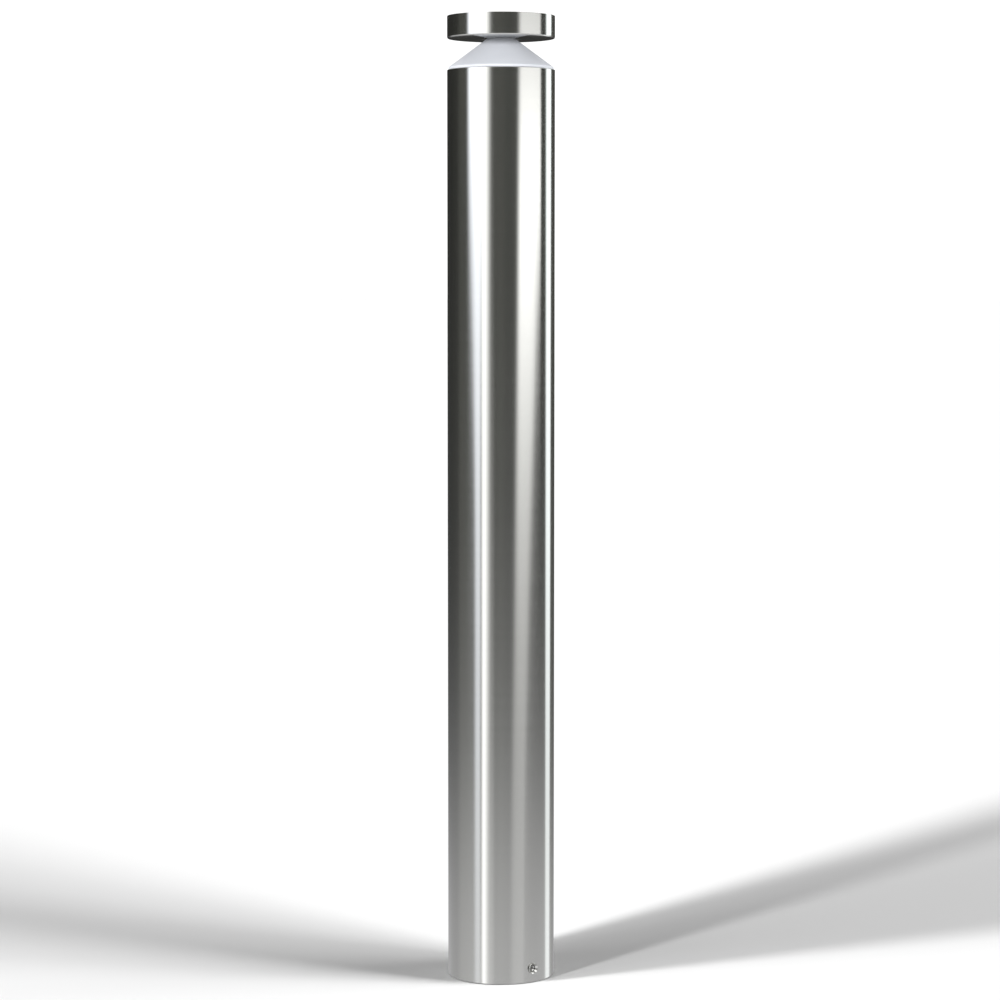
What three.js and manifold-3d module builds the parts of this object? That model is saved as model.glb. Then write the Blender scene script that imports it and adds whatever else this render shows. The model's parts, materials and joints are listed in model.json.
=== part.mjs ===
// Bollard light: a stainless steel column on a cast base, with an opal cone diffuser under a floating cap.
// Millimetres, +Z up. The origin is on the ground at the centre of the column, and -Y is the front.
import * as THREE from "three";
import { mergeVertices } from "three/addons/utils/BufferGeometryUtils.js";
import Module from "manifold-3d";

const wasm = await Module();
wasm.setup();

// ---- Driving dimensions ----
const TOTAL_HEIGHT = 800;
const COLUMN_RADIUS = 44.45; // an 88.9 mm tube
const COLUMN_WALL = 1.5;
const CAP_HEIGHT = 18.2;
const LIGHT_GAP = 26; // from the column's rim to the cap's lower edge
const GROUND_CLEARANCE = 0.6; // the column's lower end above the ground
const JOINT_GAP = 0.3; // between pieces that bear on each other
const CLAMP_HEIGHT = 12.1; // the clamp screws' axis above the ground
const CLAMP_AZIMUTH = THREE.MathUtils.degToRad(36.1); // first clamp screw, from the front towards +X
const CLAMP_AZIMUTHS = [CLAMP_AZIMUTH, CLAMP_AZIMUTH + Math.PI];

// ---- Values that follow from them ----
const BORE_RADIUS = COLUMN_RADIUS - COLUMN_WALL;
const CAP_BOTTOM = TOTAL_HEIGHT - CAP_HEIGHT;
const COLUMN_TOP = CAP_BOTTOM - LIGHT_GAP;

// ---- Facets round a full circle ----
const LARGE = 40;
const MEDIUM = 24;
const SMALL = 12;
const TINY = 8;

// ---- Materials ----
function finish(color, roughness, metalness) {
  return new THREE.MeshStandardMaterial({ color, roughness, metalness });
}

const BRUSHED_STEEL = finish(0xb9b9b6, 0.28, 1);
const POLISHED_STEEL = finish(0xc4c4c2, 0.16, 1);
const ZINC_STEEL = finish(0xa9acae, 0.4, 1);
const CAST_ALUMINIUM = finish(0x9b9da0, 0.55, 1);
const BRASS = finish(0xb08d4a, 0.35, 1);
const OPAL_PLASTIC = finish(0xd7dae0, 0.4, 0);
const GREY_PLASTIC = finish(0x8d9093, 0.55, 0);
const WHITE_PLASTIC = finish(0xe9e8e3, 0.5, 0);
const BLACK_PLASTIC = finish(0x1c1d1f, 0.5, 0);
const BLACK_RUBBER = finish(0x17181a, 0.8, 0);
const SILICONE = finish(0xc9ccd0, 0.6, 0);
const BOARD_WHITE = finish(0xeceeee, 0.45, 0);
const CABLE_SHEATH = finish(0x1a1a1c, 0.65, 0);
const WIRE_WHITE = finish(0xdcdcd8, 0.5, 0);
const EARTH_WIRE = finish(0x6f9a2c, 0.5, 0);

const bollard = new THREE.Group();

// ---- Geometry helpers ----
function solidOf(geometry) {
  const bare = geometry.clone();
  bare.deleteAttribute("normal");
  bare.deleteAttribute("uv");
  const merged = mergeVertices(bare);
  return new wasm.Manifold(
    new wasm.Mesh({
      numProp: 3,
      vertProperties: merged.attributes.position.array,
      triVerts: new Uint32Array(merged.index.array),
    }),
  );
}

function geometryOf(solid) {
  const mesh = solid.getMesh();
  const geometry = new THREE.BufferGeometry();
  geometry.setAttribute("position", new THREE.BufferAttribute(mesh.vertProperties, 3));
  geometry.setIndex(new THREE.BufferAttribute(mesh.triVerts, 1));
  geometry.computeVertexNormals();
  return geometry;
}

// The first geometry with the others joined to it.
function join(first, ...others) {
  return geometryOf(others.reduce((solid, other) => solid.add(solidOf(other)), solidOf(first)));
}

// The first geometry with the others cut out of it.
function cut(first, ...others) {
  return geometryOf(others.reduce((solid, other) => solid.subtract(solidOf(other)), solidOf(first)));
}

// A solid of revolution about +Z from [radius, height] pairs that run anticlockwise in the half plane.
function turned(profile, segments) {
  const points = profile.map(([radius, height]) => new THREE.Vector2(radius, height));
  const onAxis = points[0].x === 0 && points[points.length - 1].x === 0;
  if (!onAxis) points.push(points[0].clone());
  return new THREE.LatheGeometry(points, segments).rotateX(Math.PI / 2);
}

function ring(inner, outer, bottom, top, segments) {
  return turned([[inner, bottom], [outer, bottom], [outer, top], [inner, top]], segments);
}

function disc(radius, bottom, top, segments) {
  return turned([[0, bottom], [radius, bottom], [radius, top], [0, top]], segments);
}

// A box between two corners.
function block([x0, y0, z0], [x1, y1, z1]) {
  return new THREE.BoxGeometry(x1 - x0, y1 - y0, z1 - z0)
    .translate((x0 + x1) / 2, (y0 + y1) / 2, (z0 + z1) / 2);
}

// A prism with flats this far across, its axis along +Z.
function hexPrism(acrossFlats, bottom, top) {
  const cornerRadius = acrossFlats / 2 / Math.cos(Math.PI / 6);
  return new THREE.CylinderGeometry(cornerRadius, cornerRadius, top - bottom, 6)
    .rotateX(Math.PI / 2)
    .translate(0, 0, (bottom + top) / 2);
}

// A round cable along a smooth curve through the points.
function cable(points, radius, sides, steps) {
  const section = new THREE.Shape();
  for (let i = 0; i < sides; i += 1) {
    const angle = (2 * Math.PI * i) / sides;
    const corner = [radius * Math.cos(angle), radius * Math.sin(angle)];
    if (i === 0) section.moveTo(...corner);
    else section.lineTo(...corner);
  }
  const extrudePath = new THREE.CatmullRomCurve3(points.map((point) => new THREE.Vector3(...point)));
  return new THREE.ExtrudeGeometry(section, { steps, extrudePath, bevelEnabled: false });
}

// A screw with its head's seat at z = 0 and its shank down -Z. drive is the hex socket's width.
function socketScrew({ headRadius, headHeight, shankRadius, length, drive }) {
  const body = turned(
    [[0, -length], [shankRadius, -length], [shankRadius, 0], [headRadius, 0],
      [headRadius, headHeight * 0.6], [headRadius * 0.75, headHeight], [0, headHeight]],
    SMALL,
  );
  return cut(body, hexPrism(drive, headHeight * 0.35, headHeight + 1));
}

// A countersunk screw with its head's face at z = 0.
function countersunkScrew({ headRadius, shankRadius, length, drive }) {
  const coneHeight = headRadius - shankRadius;
  const body = turned(
    [[0, -length], [shankRadius, -length], [shankRadius, -coneHeight], [headRadius, 0], [0, 0]],
    SMALL,
  );
  return cut(body, hexPrism(drive, -coneHeight * 0.8, 1));
}

function add(name, geometry, material, parent = bollard) {
  const mesh = new THREE.Mesh(geometry, material);
  mesh.name = name;
  parent.add(mesh);
  return mesh;
}

// Angles equally spaced round a circle, in radians.
function spread(count, first = 0) {
  return Array.from({ length: count }, (_, i) => first + (2 * Math.PI * i) / count);
}

function polar(radius, angle) {
  return [radius * Math.cos(angle), radius * Math.sin(angle)];
}

// ---- Base: what stays on the ground ----
const GASKET_TOP = 2;
const PLATE_BOTTOM = GASKET_TOP + JOINT_GAP;
const PLATE_TOP = PLATE_BOTTOM + 5;
const SPIGOT_TOP = 29;
const SPIGOT_RADIUS = 42.3;
const SPIGOT_WALL = 3;
const ANVIL_RADIUS = 33.4; // the pocket floor that a clamp screw presses on
const POCKET_WIDTH = 13;
const ANCHOR_CIRCLE_RADIUS = 22;
const ANCHOR_ANGLES = spread(3, Math.PI / 2);
const ANCHOR_SLOT = { width: 6.6, length: 11 };
const CABLE_HOLE_RADIUS = 11;
const COLLAR = { radius: 15.5, top: PLATE_TOP + 1.2 }; // round the cable hole
const GASKET = { inner: 14, outer: 41.6, slotClearance: 1 };
const RIB = { thickness: 3, height: 6, reach: 40.5 };
const WELL_ABOVE = 50; // a cutter's length beyond what it cuts

// An upright slot-shaped cutter, long side tangential, at each anchor position.
function anchorCutters(clearance) {
  return ANCHOR_ANGLES.map((angle) => {
    const radius = ANCHOR_SLOT.width / 2 + clearance;
    const reach = (ANCHOR_SLOT.length - ANCHOR_SLOT.width) / 2;
    const outline = new THREE.Shape();
    outline.absarc(0, reach, radius, 0, Math.PI);
    outline.absarc(0, -reach, radius, Math.PI, 2 * Math.PI);
    return new THREE.ExtrudeGeometry(outline, { depth: 20, bevelEnabled: false, curveSegments: 6 })
      .translate(ANCHOR_CIRCLE_RADIUS, 0, -5)
      .rotateZ(angle);
  });
}

function makeBaseGasket() {
  return cut(ring(GASKET.inner, GASKET.outer, 0, GASKET_TOP, LARGE), ...anchorCutters(GASKET.slotClearance));
}

function makeBaseFlange() {
  const plate = disc(SPIGOT_RADIUS, PLATE_BOTTOM, PLATE_TOP, LARGE);
  const wall = ring(SPIGOT_RADIUS - SPIGOT_WALL, SPIGOT_RADIUS, PLATE_BOTTOM, SPIGOT_TOP, LARGE);
  const collar = ring(CABLE_HOLE_RADIUS, COLLAR.radius, PLATE_BOTTOM, COLLAR.top, MEDIUM);
  const lugHalf = POCKET_WIDTH / 2 + SPIGOT_WALL;
  const lugs = CLAMP_AZIMUTHS.map((azimuth) =>
    block([-lugHalf, -RIB.reach, PLATE_BOTTOM], [lugHalf, SPIGOT_WALL - ANVIL_RADIUS, SPIGOT_TOP])
      .rotateZ(azimuth),
  );
  const pockets = CLAMP_AZIMUTHS.map((azimuth) =>
    block([-POCKET_WIDTH / 2, -WELL_ABOVE, PLATE_TOP], [POCKET_WIDTH / 2, -ANVIL_RADIUS, WELL_ABOVE])
      .rotateZ(azimuth),
  );
  const ribHalf = RIB.thickness / 2;
  const ribTop = PLATE_TOP + RIB.height;
  const ribs = ANCHOR_ANGLES.map((angle) =>
    block([COLLAR.radius - 1, -ribHalf, PLATE_TOP - 1], [RIB.reach, ribHalf, ribTop])
      .rotateZ(angle + Math.PI / 3),
  );
  const cast = join(plate, wall, collar, ...ribs, ...lugs);
  const cableHole = disc(CABLE_HOLE_RADIUS, 0, WELL_ABOVE, MEDIUM);
  return cut(cast, cableHole, ...pockets, ...anchorCutters(0));
}

function makeCableGrommet() {
  const neck = CABLE_HOLE_RADIUS - JOINT_GAP;
  const lip = GASKET.inner - 1;
  const bore = 8;
  const foot = 0.4;
  const seat = COLLAR.top + JOINT_GAP;
  const top = seat + 1.6;
  return turned(
    [[bore, foot], [lip, foot], [lip, GASKET_TOP], [neck, GASKET_TOP], [neck, seat],
      [lip, seat], [lip - 0.8, top], [bore, top]],
    MEDIUM,
  );
}

add("base_gasket", makeBaseGasket(), BLACK_RUBBER);
add("base_flange", makeBaseFlange(), CAST_ALUMINIUM);
add("cable_grommet", makeCableGrommet(), BLACK_RUBBER);

// ---- Column and its two clamp stations ----
const NUT_HOLE_RADIUS = 3.75;
const NUT_BODY_RADIUS = NUT_HOLE_RADIUS - JOINT_GAP;
const NUT_BORE_RADIUS = 2.75;
const NUT_FLANGE_RADIUS = 4.5;
const NUT_FLANGE_SEAT = COLUMN_RADIUS + 0.15;
const NUT_FACE = NUT_FLANGE_SEAT + 1.15;
const NUT_INNER_END = 35.3;
const SCREW_RADIUS = NUT_BORE_RADIUS - JOINT_GAP;
const SCREW_TIP = ANVIL_RADIUS + 0.4;
const SCREW_LENGTH = 10;
const SCREW_SOCKET = 2.5;

function makeColumnTube() {
  const pipe = ring(BORE_RADIUS, COLUMN_RADIUS, GROUND_CLEARANCE, COLUMN_TOP, LARGE);
  const crossDrill = disc(NUT_HOLE_RADIUS, -60, 60, SMALL)
    .rotateX(Math.PI / 2)
    .rotateZ(CLAMP_AZIMUTH)
    .translate(0, 0, CLAMP_HEIGHT);
  return cut(pipe, crossDrill);
}

// Built along +Z, which each clamp station turns outwards; heights are distances from the column's axis.
function makeRivetNut() {
  const crimp = { radius: 4.7, outer: 42.3, inner: 39.3 };
  return turned(
    [[NUT_BORE_RADIUS, NUT_INNER_END], [NUT_BODY_RADIUS, NUT_INNER_END], [NUT_BODY_RADIUS, crimp.inner],
      [crimp.radius, crimp.inner + 0.6], [crimp.radius, crimp.outer - 0.4], [NUT_BODY_RADIUS, crimp.outer],
      [NUT_BODY_RADIUS, NUT_FLANGE_SEAT], [NUT_FLANGE_RADIUS, NUT_FLANGE_SEAT],
      [NUT_FLANGE_RADIUS, NUT_FACE - 0.5], [NUT_FLANGE_RADIUS - 0.6, NUT_FACE],
      [NUT_BORE_RADIUS + 0.5, NUT_FACE], [NUT_BORE_RADIUS, NUT_FACE - 0.5]],
    MEDIUM,
  );
}

function makeClampScrew() {
  const face = SCREW_TIP + SCREW_LENGTH;
  const body = turned(
    [[0, SCREW_TIP], [1.6, SCREW_TIP], [SCREW_RADIUS, SCREW_TIP + 1], [SCREW_RADIUS, face - 0.4],
      [SCREW_RADIUS - 0.4, face], [0, face]],
    MEDIUM,
  );
  return cut(body, hexPrism(SCREW_SOCKET, face - 3, face + 1));
}

function addClampStation(number, azimuth) {
  const station = new THREE.Group();
  station.rotation.z = azimuth;
  station.position.z = CLAMP_HEIGHT;
  bollard.add(station);
  add(`rivet_nut_${number}`, makeRivetNut(), BRUSHED_STEEL, station).rotation.x = Math.PI / 2;
  add(`clamp_screw_${number}`, makeClampScrew(), POLISHED_STEEL, station).rotation.x = Math.PI / 2;
}

add("column_tube", makeColumnTube(), BRUSHED_STEEL);
CLAMP_AZIMUTHS.forEach((azimuth, i) => addClampStation(i + 1, azimuth));

// ---- Head carrier: the cast plug and heat sink in the column's top ----
const RING_BOTTOM = COLUMN_TOP - 27.8;
const RING_TOP = RING_BOTTOM + 4;
const RING_OUTER = 42.5;
const RING_INNER = 34;
const CARRIER_BOTTOM = RING_TOP + JOINT_GAP;
const CARRIER_TOP = CARRIER_BOTTOM + 6;
const CARRIER_RIM_TOP = CARRIER_TOP + 8;
const CARRIER_RADIUS = 42.4;
const CARRIER_SCREW_CIRCLE = 37.6;
const CARRIER_SCREW_ANGLES = spread(3, Math.PI / 2);
const SEAL_HEIGHT = CARRIER_TOP + 3.6;
const SEAL_GROOVE = { radius: 41.1, half: 1.3 };
const CUP_WALL_RADIUS = 39.4; // inside the carrier's rim
const FIN = { rows: [-26, -20, 20, 26], thickness: 2, drop: 17 };
const STUD_HOLE_RADIUS = 4.3;
const LEAD_HOLE = { y: -10.6, radius: 2.4 };
const BOARD_SCREW_CIRCLE = 19.5;
const BOARD_SCREW_ANGLES = spread(2, 0);
const M3 = { headRadius: 2.7, headHeight: 2, shankRadius: 1.2, drive: 2 };
const M3_PILOT = 1.5; // radius of the hole that an M3 screw bites in
const M3_CLEARANCE = 1.6;
const M4_PILOT = 2.1;
const M4_COUNTERSUNK = { headRadius: 3.7, shankRadius: 1.8, drive: 2.5 };

// Cutters for a circle of upright holes.
function holes(circle, angles, radius, bottom, top) {
  return angles.map((angle) => disc(radius, bottom, top, TINY).translate(...polar(circle, angle), 0));
}

function makeSupportRing() {
  const body = ring(RING_INNER, RING_OUTER, RING_BOTTOM, RING_TOP, LARGE);
  const tapped = holes(CARRIER_SCREW_CIRCLE, CARRIER_SCREW_ANGLES, M4_PILOT, RING_BOTTOM - 1, RING_TOP + 1);
  const bracketTapped = holes(
    BRACKET_SCREW_CIRCLE, BRACKET_SCREW_ANGLES, M3_PILOT, RING_BOTTOM - 1, RING_TOP + 1,
  );
  return cut(body, ...tapped, ...bracketTapped);
}

function makeHeadCarrier() {
  const cup = turned(
    [[0, CARRIER_BOTTOM], [CARRIER_RADIUS, CARRIER_BOTTOM],
      [CARRIER_RADIUS, SEAL_HEIGHT - SEAL_GROOVE.half], [SEAL_GROOVE.radius, SEAL_HEIGHT - SEAL_GROOVE.half],
      [SEAL_GROOVE.radius, SEAL_HEIGHT + SEAL_GROOVE.half], [CARRIER_RADIUS, SEAL_HEIGHT + SEAL_GROOVE.half],
      [CARRIER_RADIUS, CARRIER_RIM_TOP], [CUP_WALL_RADIUS, CARRIER_RIM_TOP],
      [CUP_WALL_RADIUS, CARRIER_TOP + 3], [RING_INNER + 1.5, CARRIER_TOP], [0, CARRIER_TOP]],
    LARGE,
  );
  const finReach = RING_INNER - 1;
  const fins = FIN.rows.map((y) => {
    const half = Math.sqrt(finReach ** 2 - y ** 2) - 1;
    const from = [-half, y - FIN.thickness / 2, CARRIER_BOTTOM - FIN.drop];
    return block(from, [half, y + FIN.thickness / 2, CARRIER_BOTTOM + 1]);
  });
  const seat = M4_COUNTERSUNK.headRadius + JOINT_GAP;
  const throat = M4_COUNTERSUNK.shankRadius + JOINT_GAP;
  const counterbores = CARRIER_SCREW_ANGLES.map((angle) =>
    turned(
      [[0, CARRIER_BOTTOM - 1], [throat, CARRIER_BOTTOM - 1], [throat, CARRIER_TOP - 0.2 - (seat - throat)],
        [seat, CARRIER_TOP - 0.2], [seat, CARRIER_TOP + 4], [0, CARRIER_TOP + 4]],
      SMALL,
    ).translate(...polar(CARRIER_SCREW_CIRCLE, angle), 0),
  );
  const studHole = disc(STUD_HOLE_RADIUS, CARRIER_BOTTOM - 1, CARRIER_TOP + 1, SMALL);
  const leadHole = disc(LEAD_HOLE.radius, CARRIER_BOTTOM - 1, CARRIER_TOP + 1, TINY)
    .translate(0, LEAD_HOLE.y, 0);
  const boardHoles = holes(
    BOARD_SCREW_CIRCLE, BOARD_SCREW_ANGLES, M3_PILOT, CARRIER_BOTTOM + 1, CARRIER_TOP + 1,
  );
  return cut(join(cup, ...fins), studHole, leadHole, ...counterbores, ...boardHoles);
}

// An O-ring pressed to four flats by its groove and the column's bore.
function makeCarrierSeal() {
  const inner = SEAL_GROOVE.radius + JOINT_GAP;
  const outer = CARRIER_RADIUS + 0.15;
  return ring(inner, outer, SEAL_HEIGHT - 1, SEAL_HEIGHT + 1, LARGE);
}

// ---- Driver and its bracket under the support ring ----
const BRACKET_SCREW_CIRCLE = 37.6;
const BRACKET_SCREW_ANGLES = spread(2, 0);
const BRACKET_TOP = RING_BOTTOM - JOINT_GAP;
const BRACKET_THICKNESS = 1.5;
const BRACKET = { half: 7, reach: 41.2, eyeOuter: 17, eyeInner: 13, legHalf: 13 };
const BRACKET_BOTTOM = BRACKET_TOP - 110;
const BRACKET_FACE = 13.5; // the upright leg's front face, in Y
const DRIVER = { half: 13, front: -7.5, bottom: BRACKET_TOP - 88, top: BRACKET_TOP - 16, tab: 6.5 };
const DRIVER_BACK = BRACKET_FACE - JOINT_GAP;
const EARTH_SCREW_POINT = { x: 8, z: BRACKET_BOTTOM + 7 };

// A cutter along Y for a hole in the bracket's upright leg.
function legHole(x, z, radius) {
  return disc(radius, -BRACKET_FACE - 6, -BRACKET_FACE + 4, TINY).rotateX(Math.PI / 2).translate(x, 0, z);
}

function makeDriverBracket() {
  const bottom = BRACKET_TOP - BRACKET_THICKNESS;
  const { half, reach, eyeOuter, eyeInner, legHalf } = BRACKET;
  const strap = block([-reach, -half, bottom], [reach, half, BRACKET_TOP]);
  const eye = disc(eyeOuter, bottom, BRACKET_TOP, MEDIUM);
  const legBack = BRACKET_FACE + BRACKET_THICKNESS;
  const leg = block([-legHalf, BRACKET_FACE, BRACKET_BOTTOM], [legHalf, legBack, BRACKET_TOP]);
  const eyeHole = disc(eyeInner, bottom - 1, BRACKET_TOP + 1, MEDIUM);
  const strapHoles = holes(
    BRACKET_SCREW_CIRCLE, BRACKET_SCREW_ANGLES, M3_PILOT, bottom - 1, BRACKET_TOP + 1,
  );
  const driverHoles = driverScrewHeights().map((z) => legHole(0, z, M3_PILOT));
  const earthHole = legHole(EARTH_SCREW_POINT.x, EARTH_SCREW_POINT.z, M3_PILOT);
  return cut(join(cut(join(strap, eye), eyeHole), leg), ...strapHoles, ...driverHoles, earthHole);
}

function driverScrewHeights() {
  return [DRIVER.bottom - DRIVER.tab / 2, DRIVER.top + DRIVER.tab / 2];
}

function makeDriverCase() {
  const { half, front, bottom, top, tab } = DRIVER;
  const body = block([-half, front, bottom], [half, DRIVER_BACK, top]);
  const tabs = block([-half, DRIVER_BACK - 2, bottom - tab], [half, DRIVER_BACK, top + tab]);
  const tabHoles = driverScrewHeights().map((z) => legHole(0, z, M3_PILOT));
  return cut(join(body, tabs), ...tabHoles);
}

add("support_ring", makeSupportRing(), ZINC_STEEL);
add("head_carrier", makeHeadCarrier(), CAST_ALUMINIUM);
add("carrier_seal", makeCarrierSeal(), BLACK_RUBBER);
CARRIER_SCREW_ANGLES.forEach((angle, i) => {
  const shape = countersunkScrew({ ...M4_COUNTERSUNK, length: 10 });
  const screw = add(`carrier_screw_${i + 1}`, shape, ZINC_STEEL);
  screw.position.set(...polar(CARRIER_SCREW_CIRCLE, angle), CARRIER_TOP);
});
add("driver_bracket", makeDriverBracket(), ZINC_STEEL);
BRACKET_SCREW_ANGLES.forEach((angle, i) => {
  const screw = add(`bracket_screw_${i + 1}`, socketScrew({ ...M3, length: 6 }), ZINC_STEEL);
  screw.position.set(...polar(BRACKET_SCREW_CIRCLE, angle), BRACKET_TOP - BRACKET_THICKNESS - JOINT_GAP);
  screw.rotation.x = Math.PI;
});
add("driver_case", makeDriverCase(), WHITE_PLASTIC);
driverScrewHeights().forEach((height, i) => {
  const screw = add(`driver_screw_${i + 1}`, socketScrew({ ...M3, length: 5 }), ZINC_STEEL);
  screw.position.set(0, DRIVER_BACK - 2 - JOINT_GAP, height);
  screw.rotation.x = Math.PI / 2;
});
const earthScrew = add("earth_screw", socketScrew({ ...M3, headRadius: 3.2, length: 5 }), BRASS);
earthScrew.position.set(EARTH_SCREW_POINT.x, BRACKET_FACE - 0.9 - JOINT_GAP, EARTH_SCREW_POINT.z);
earthScrew.rotation.x = Math.PI / 2;

// ---- Light source on the carrier ----
const PAD_BOTTOM = CARRIER_TOP + JOINT_GAP;
const PAD_TOP = PAD_BOTTOM + 0.5;
const BOARD_BOTTOM = PAD_TOP + JOINT_GAP;
const BOARD_TOP = BOARD_BOTTOM + 1.6;
const BOARD = { inner: 13.6, outer: 33.5 };
const LED = { count: 12, circle: 27, side: 3, height: 0.8 };
const LED_SOCKET = { half: 3.5, front: -21, back: -15.5, height: 3.4 };

function makeThermalPad() {
  const body = ring(BOARD.inner + 0.4, BOARD.outer - 0.5, PAD_BOTTOM, PAD_TOP, MEDIUM);
  const clearances = holes(
    BOARD_SCREW_CIRCLE, BOARD_SCREW_ANGLES, M3_CLEARANCE, PAD_BOTTOM - 1, PAD_TOP + 1,
  );
  return cut(body, ...clearances);
}

// The board carries its light sources and its lead socket, soldered on.
function makeLedBoard() {
  const body = ring(BOARD.inner, BOARD.outer, BOARD_BOTTOM, BOARD_TOP, MEDIUM);
  const leds = spread(LED.count, Math.PI / LED.count).map((angle) =>
    block(
      [LED.circle - LED.side / 2, -LED.side / 2, BOARD_TOP - 0.5],
      [LED.circle + LED.side / 2, LED.side / 2, BOARD_TOP + LED.height],
    ).rotateZ(angle),
  );
  const { half, back, front, height } = LED_SOCKET;
  const socket = block([-half, front, BOARD_TOP - 0.5], [half, back, BOARD_TOP + height]);
  const clearances = holes(
    BOARD_SCREW_CIRCLE, BOARD_SCREW_ANGLES, M3_CLEARANCE, BOARD_BOTTOM - 1, BOARD_TOP + 1,
  );
  return cut(join(body, socket, ...leds), ...clearances);
}

add("thermal_pad", makeThermalPad(), SILICONE);
add("led_board", makeLedBoard(), BOARD_WHITE);
BOARD_SCREW_ANGLES.forEach((angle, i) => {
  const screw = add(`board_screw_${i + 1}`, socketScrew({ ...M3, length: 7 }), ZINC_STEEL);
  screw.position.set(...polar(BOARD_SCREW_CIRCLE, angle), BOARD_TOP + JOINT_GAP);
});

// ---- Centre stud that ties the cap down on the diffuser ----
const STUD = { threadRadius: 4, pillarRadius: 5, shoulderRadius: 7, bottom: CARRIER_BOTTOM - 12 };
const STUD_NUT = { flangeRadius: 8, flangeHeight: 1.4, acrossFlats: 13, height: 8 };
const STUD_TOP = TOTAL_HEIGHT - 4.5;
const PILLAR_TOP = CAP_BOTTOM + 3.6;

function makeCentreStud() {
  const shoulderBottom = CARRIER_TOP + JOINT_GAP;
  return turned(
    [[0, STUD.bottom], [STUD.threadRadius, STUD.bottom], [STUD.threadRadius, shoulderBottom],
      [STUD.shoulderRadius, shoulderBottom], [STUD.shoulderRadius, shoulderBottom + 4],
      [STUD.pillarRadius, shoulderBottom + 4], [STUD.pillarRadius, PILLAR_TOP],
      [STUD.threadRadius, PILLAR_TOP], [STUD.threadRadius, STUD_TOP - 0.6],
      [STUD.threadRadius - 0.6, STUD_TOP], [0, STUD_TOP]],
    MEDIUM,
  );
}

function makeStudNut() {
  const top = CARRIER_BOTTOM - JOINT_GAP;
  const { flangeRadius, flangeHeight, acrossFlats, height } = STUD_NUT;
  const flange = disc(flangeRadius, top - flangeHeight, top, MEDIUM);
  const hex = hexPrism(acrossFlats, top - height, top - flangeHeight / 2);
  return cut(join(flange, hex), disc(STUD.threadRadius + JOINT_GAP, top - height - 1, top + 1, SMALL));
}

add("centre_stud", makeCentreStud(), ZINC_STEEL);
add("stud_nut", makeStudNut(), ZINC_STEEL);

// ---- Diffuser: an opal cone with a thin flange on the column's rim ----
const FLANGE = { radius: 43.4, bottom: COLUMN_TOP + JOINT_GAP, top: COLUMN_TOP + 2.2 };
const CONE_FOOT = { radius: 42.9, height: FLANGE.top + 0.5 };
const CONE_SPREAD = 1.36; // radius lost per millimetre of rise
const CONE_TOP = CAP_BOTTOM - JOINT_GAP;
const CONE_WALL_RISE = 2.5; // the wall's thickness measured along the axis
const SKIRT = { outer: 42, inner: 39.6, bottom: CARRIER_RIM_TOP + 2.6 };
const NECK = { outer: 10.4, inner: 8.4, top: CAP_BOTTOM + 2.2 };

function coneRadius(height) {
  return CONE_FOOT.radius - CONE_SPREAD * (height - CONE_FOOT.height);
}

function makeDiffuser() {
  const innerFoot = CONE_FOOT.height - 1.2;
  const innerConeRadius = coneRadius(innerFoot + CONE_WALL_RISE);
  const innerTop = CONE_FOOT.height + (CONE_FOOT.radius - NECK.inner) / CONE_SPREAD - CONE_WALL_RISE;
  return turned(
    [[SKIRT.inner, SKIRT.bottom], [SKIRT.outer, SKIRT.bottom], [SKIRT.outer, FLANGE.bottom],
      [FLANGE.radius, FLANGE.bottom], [FLANGE.radius, FLANGE.top], [CONE_FOOT.radius, CONE_FOOT.height],
      [coneRadius(CONE_TOP), CONE_TOP], [NECK.outer, CONE_TOP], [NECK.outer, NECK.top],
      [NECK.inner, NECK.top], [NECK.inner, innerTop], [innerConeRadius, innerFoot],
      [SKIRT.inner, innerFoot - 0.8]],
    LARGE,
  );
}

function makeDiffuserSeal() {
  return ring(SKIRT.inner, SKIRT.outer, CARRIER_RIM_TOP + JOINT_GAP, SKIRT.bottom - JOINT_GAP, LARGE);
}

add("diffuser", makeDiffuser(), OPAL_PLASTIC);
add("diffuser_seal", makeDiffuserSeal(), SILICONE);

// ---- Cap ----
const CAP_WALL = 1.2;
const CAP_EDGE = 0.5;
const HUB = { radius: 8, flangeRadius: 16, bottom: NECK.top + 2.4, top: TOTAL_HEIGHT - CAP_WALL - JOINT_GAP };

function makeCapShell() {
  const inner = COLUMN_RADIUS - CAP_WALL;
  return turned(
    [[0, TOTAL_HEIGHT - CAP_WALL], [inner, TOTAL_HEIGHT - CAP_WALL], [inner, CAP_BOTTOM],
      [COLUMN_RADIUS, CAP_BOTTOM], [COLUMN_RADIUS, TOTAL_HEIGHT - CAP_EDGE],
      [COLUMN_RADIUS - CAP_EDGE, TOTAL_HEIGHT], [0, TOTAL_HEIGHT]],
    LARGE,
  );
}

function makeCapHub() {
  const flangeBottom = HUB.top - 2;
  const body = turned(
    [[0, HUB.bottom], [HUB.radius, HUB.bottom], [HUB.radius, flangeBottom],
      [HUB.flangeRadius, flangeBottom], [HUB.flangeRadius, HUB.top], [0, HUB.top]],
    MEDIUM,
  );
  return cut(body, disc(STUD.threadRadius + JOINT_GAP, HUB.bottom - 1, STUD_TOP + JOINT_GAP, SMALL));
}

function makeUnderplate() {
  const outer = COLUMN_RADIUS - CAP_WALL - JOINT_GAP;
  return ring(NECK.outer + 0.4, outer, CAP_BOTTOM, CAP_BOTTOM + CAP_WALL, LARGE);
}

function makeNeckSeal() {
  const bottom = NECK.top + JOINT_GAP;
  return ring(STUD.pillarRadius + 0.5, NECK.outer - 0.4, bottom, HUB.bottom - JOINT_GAP, MEDIUM);
}

add("cap_shell", makeCapShell(), BRUSHED_STEEL);
add("cap_hub", makeCapHub(), ZINC_STEEL);
add("cap_underplate", makeUnderplate(), POLISHED_STEEL);
add("neck_seal", makeNeckSeal(), SILICONE);

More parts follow.
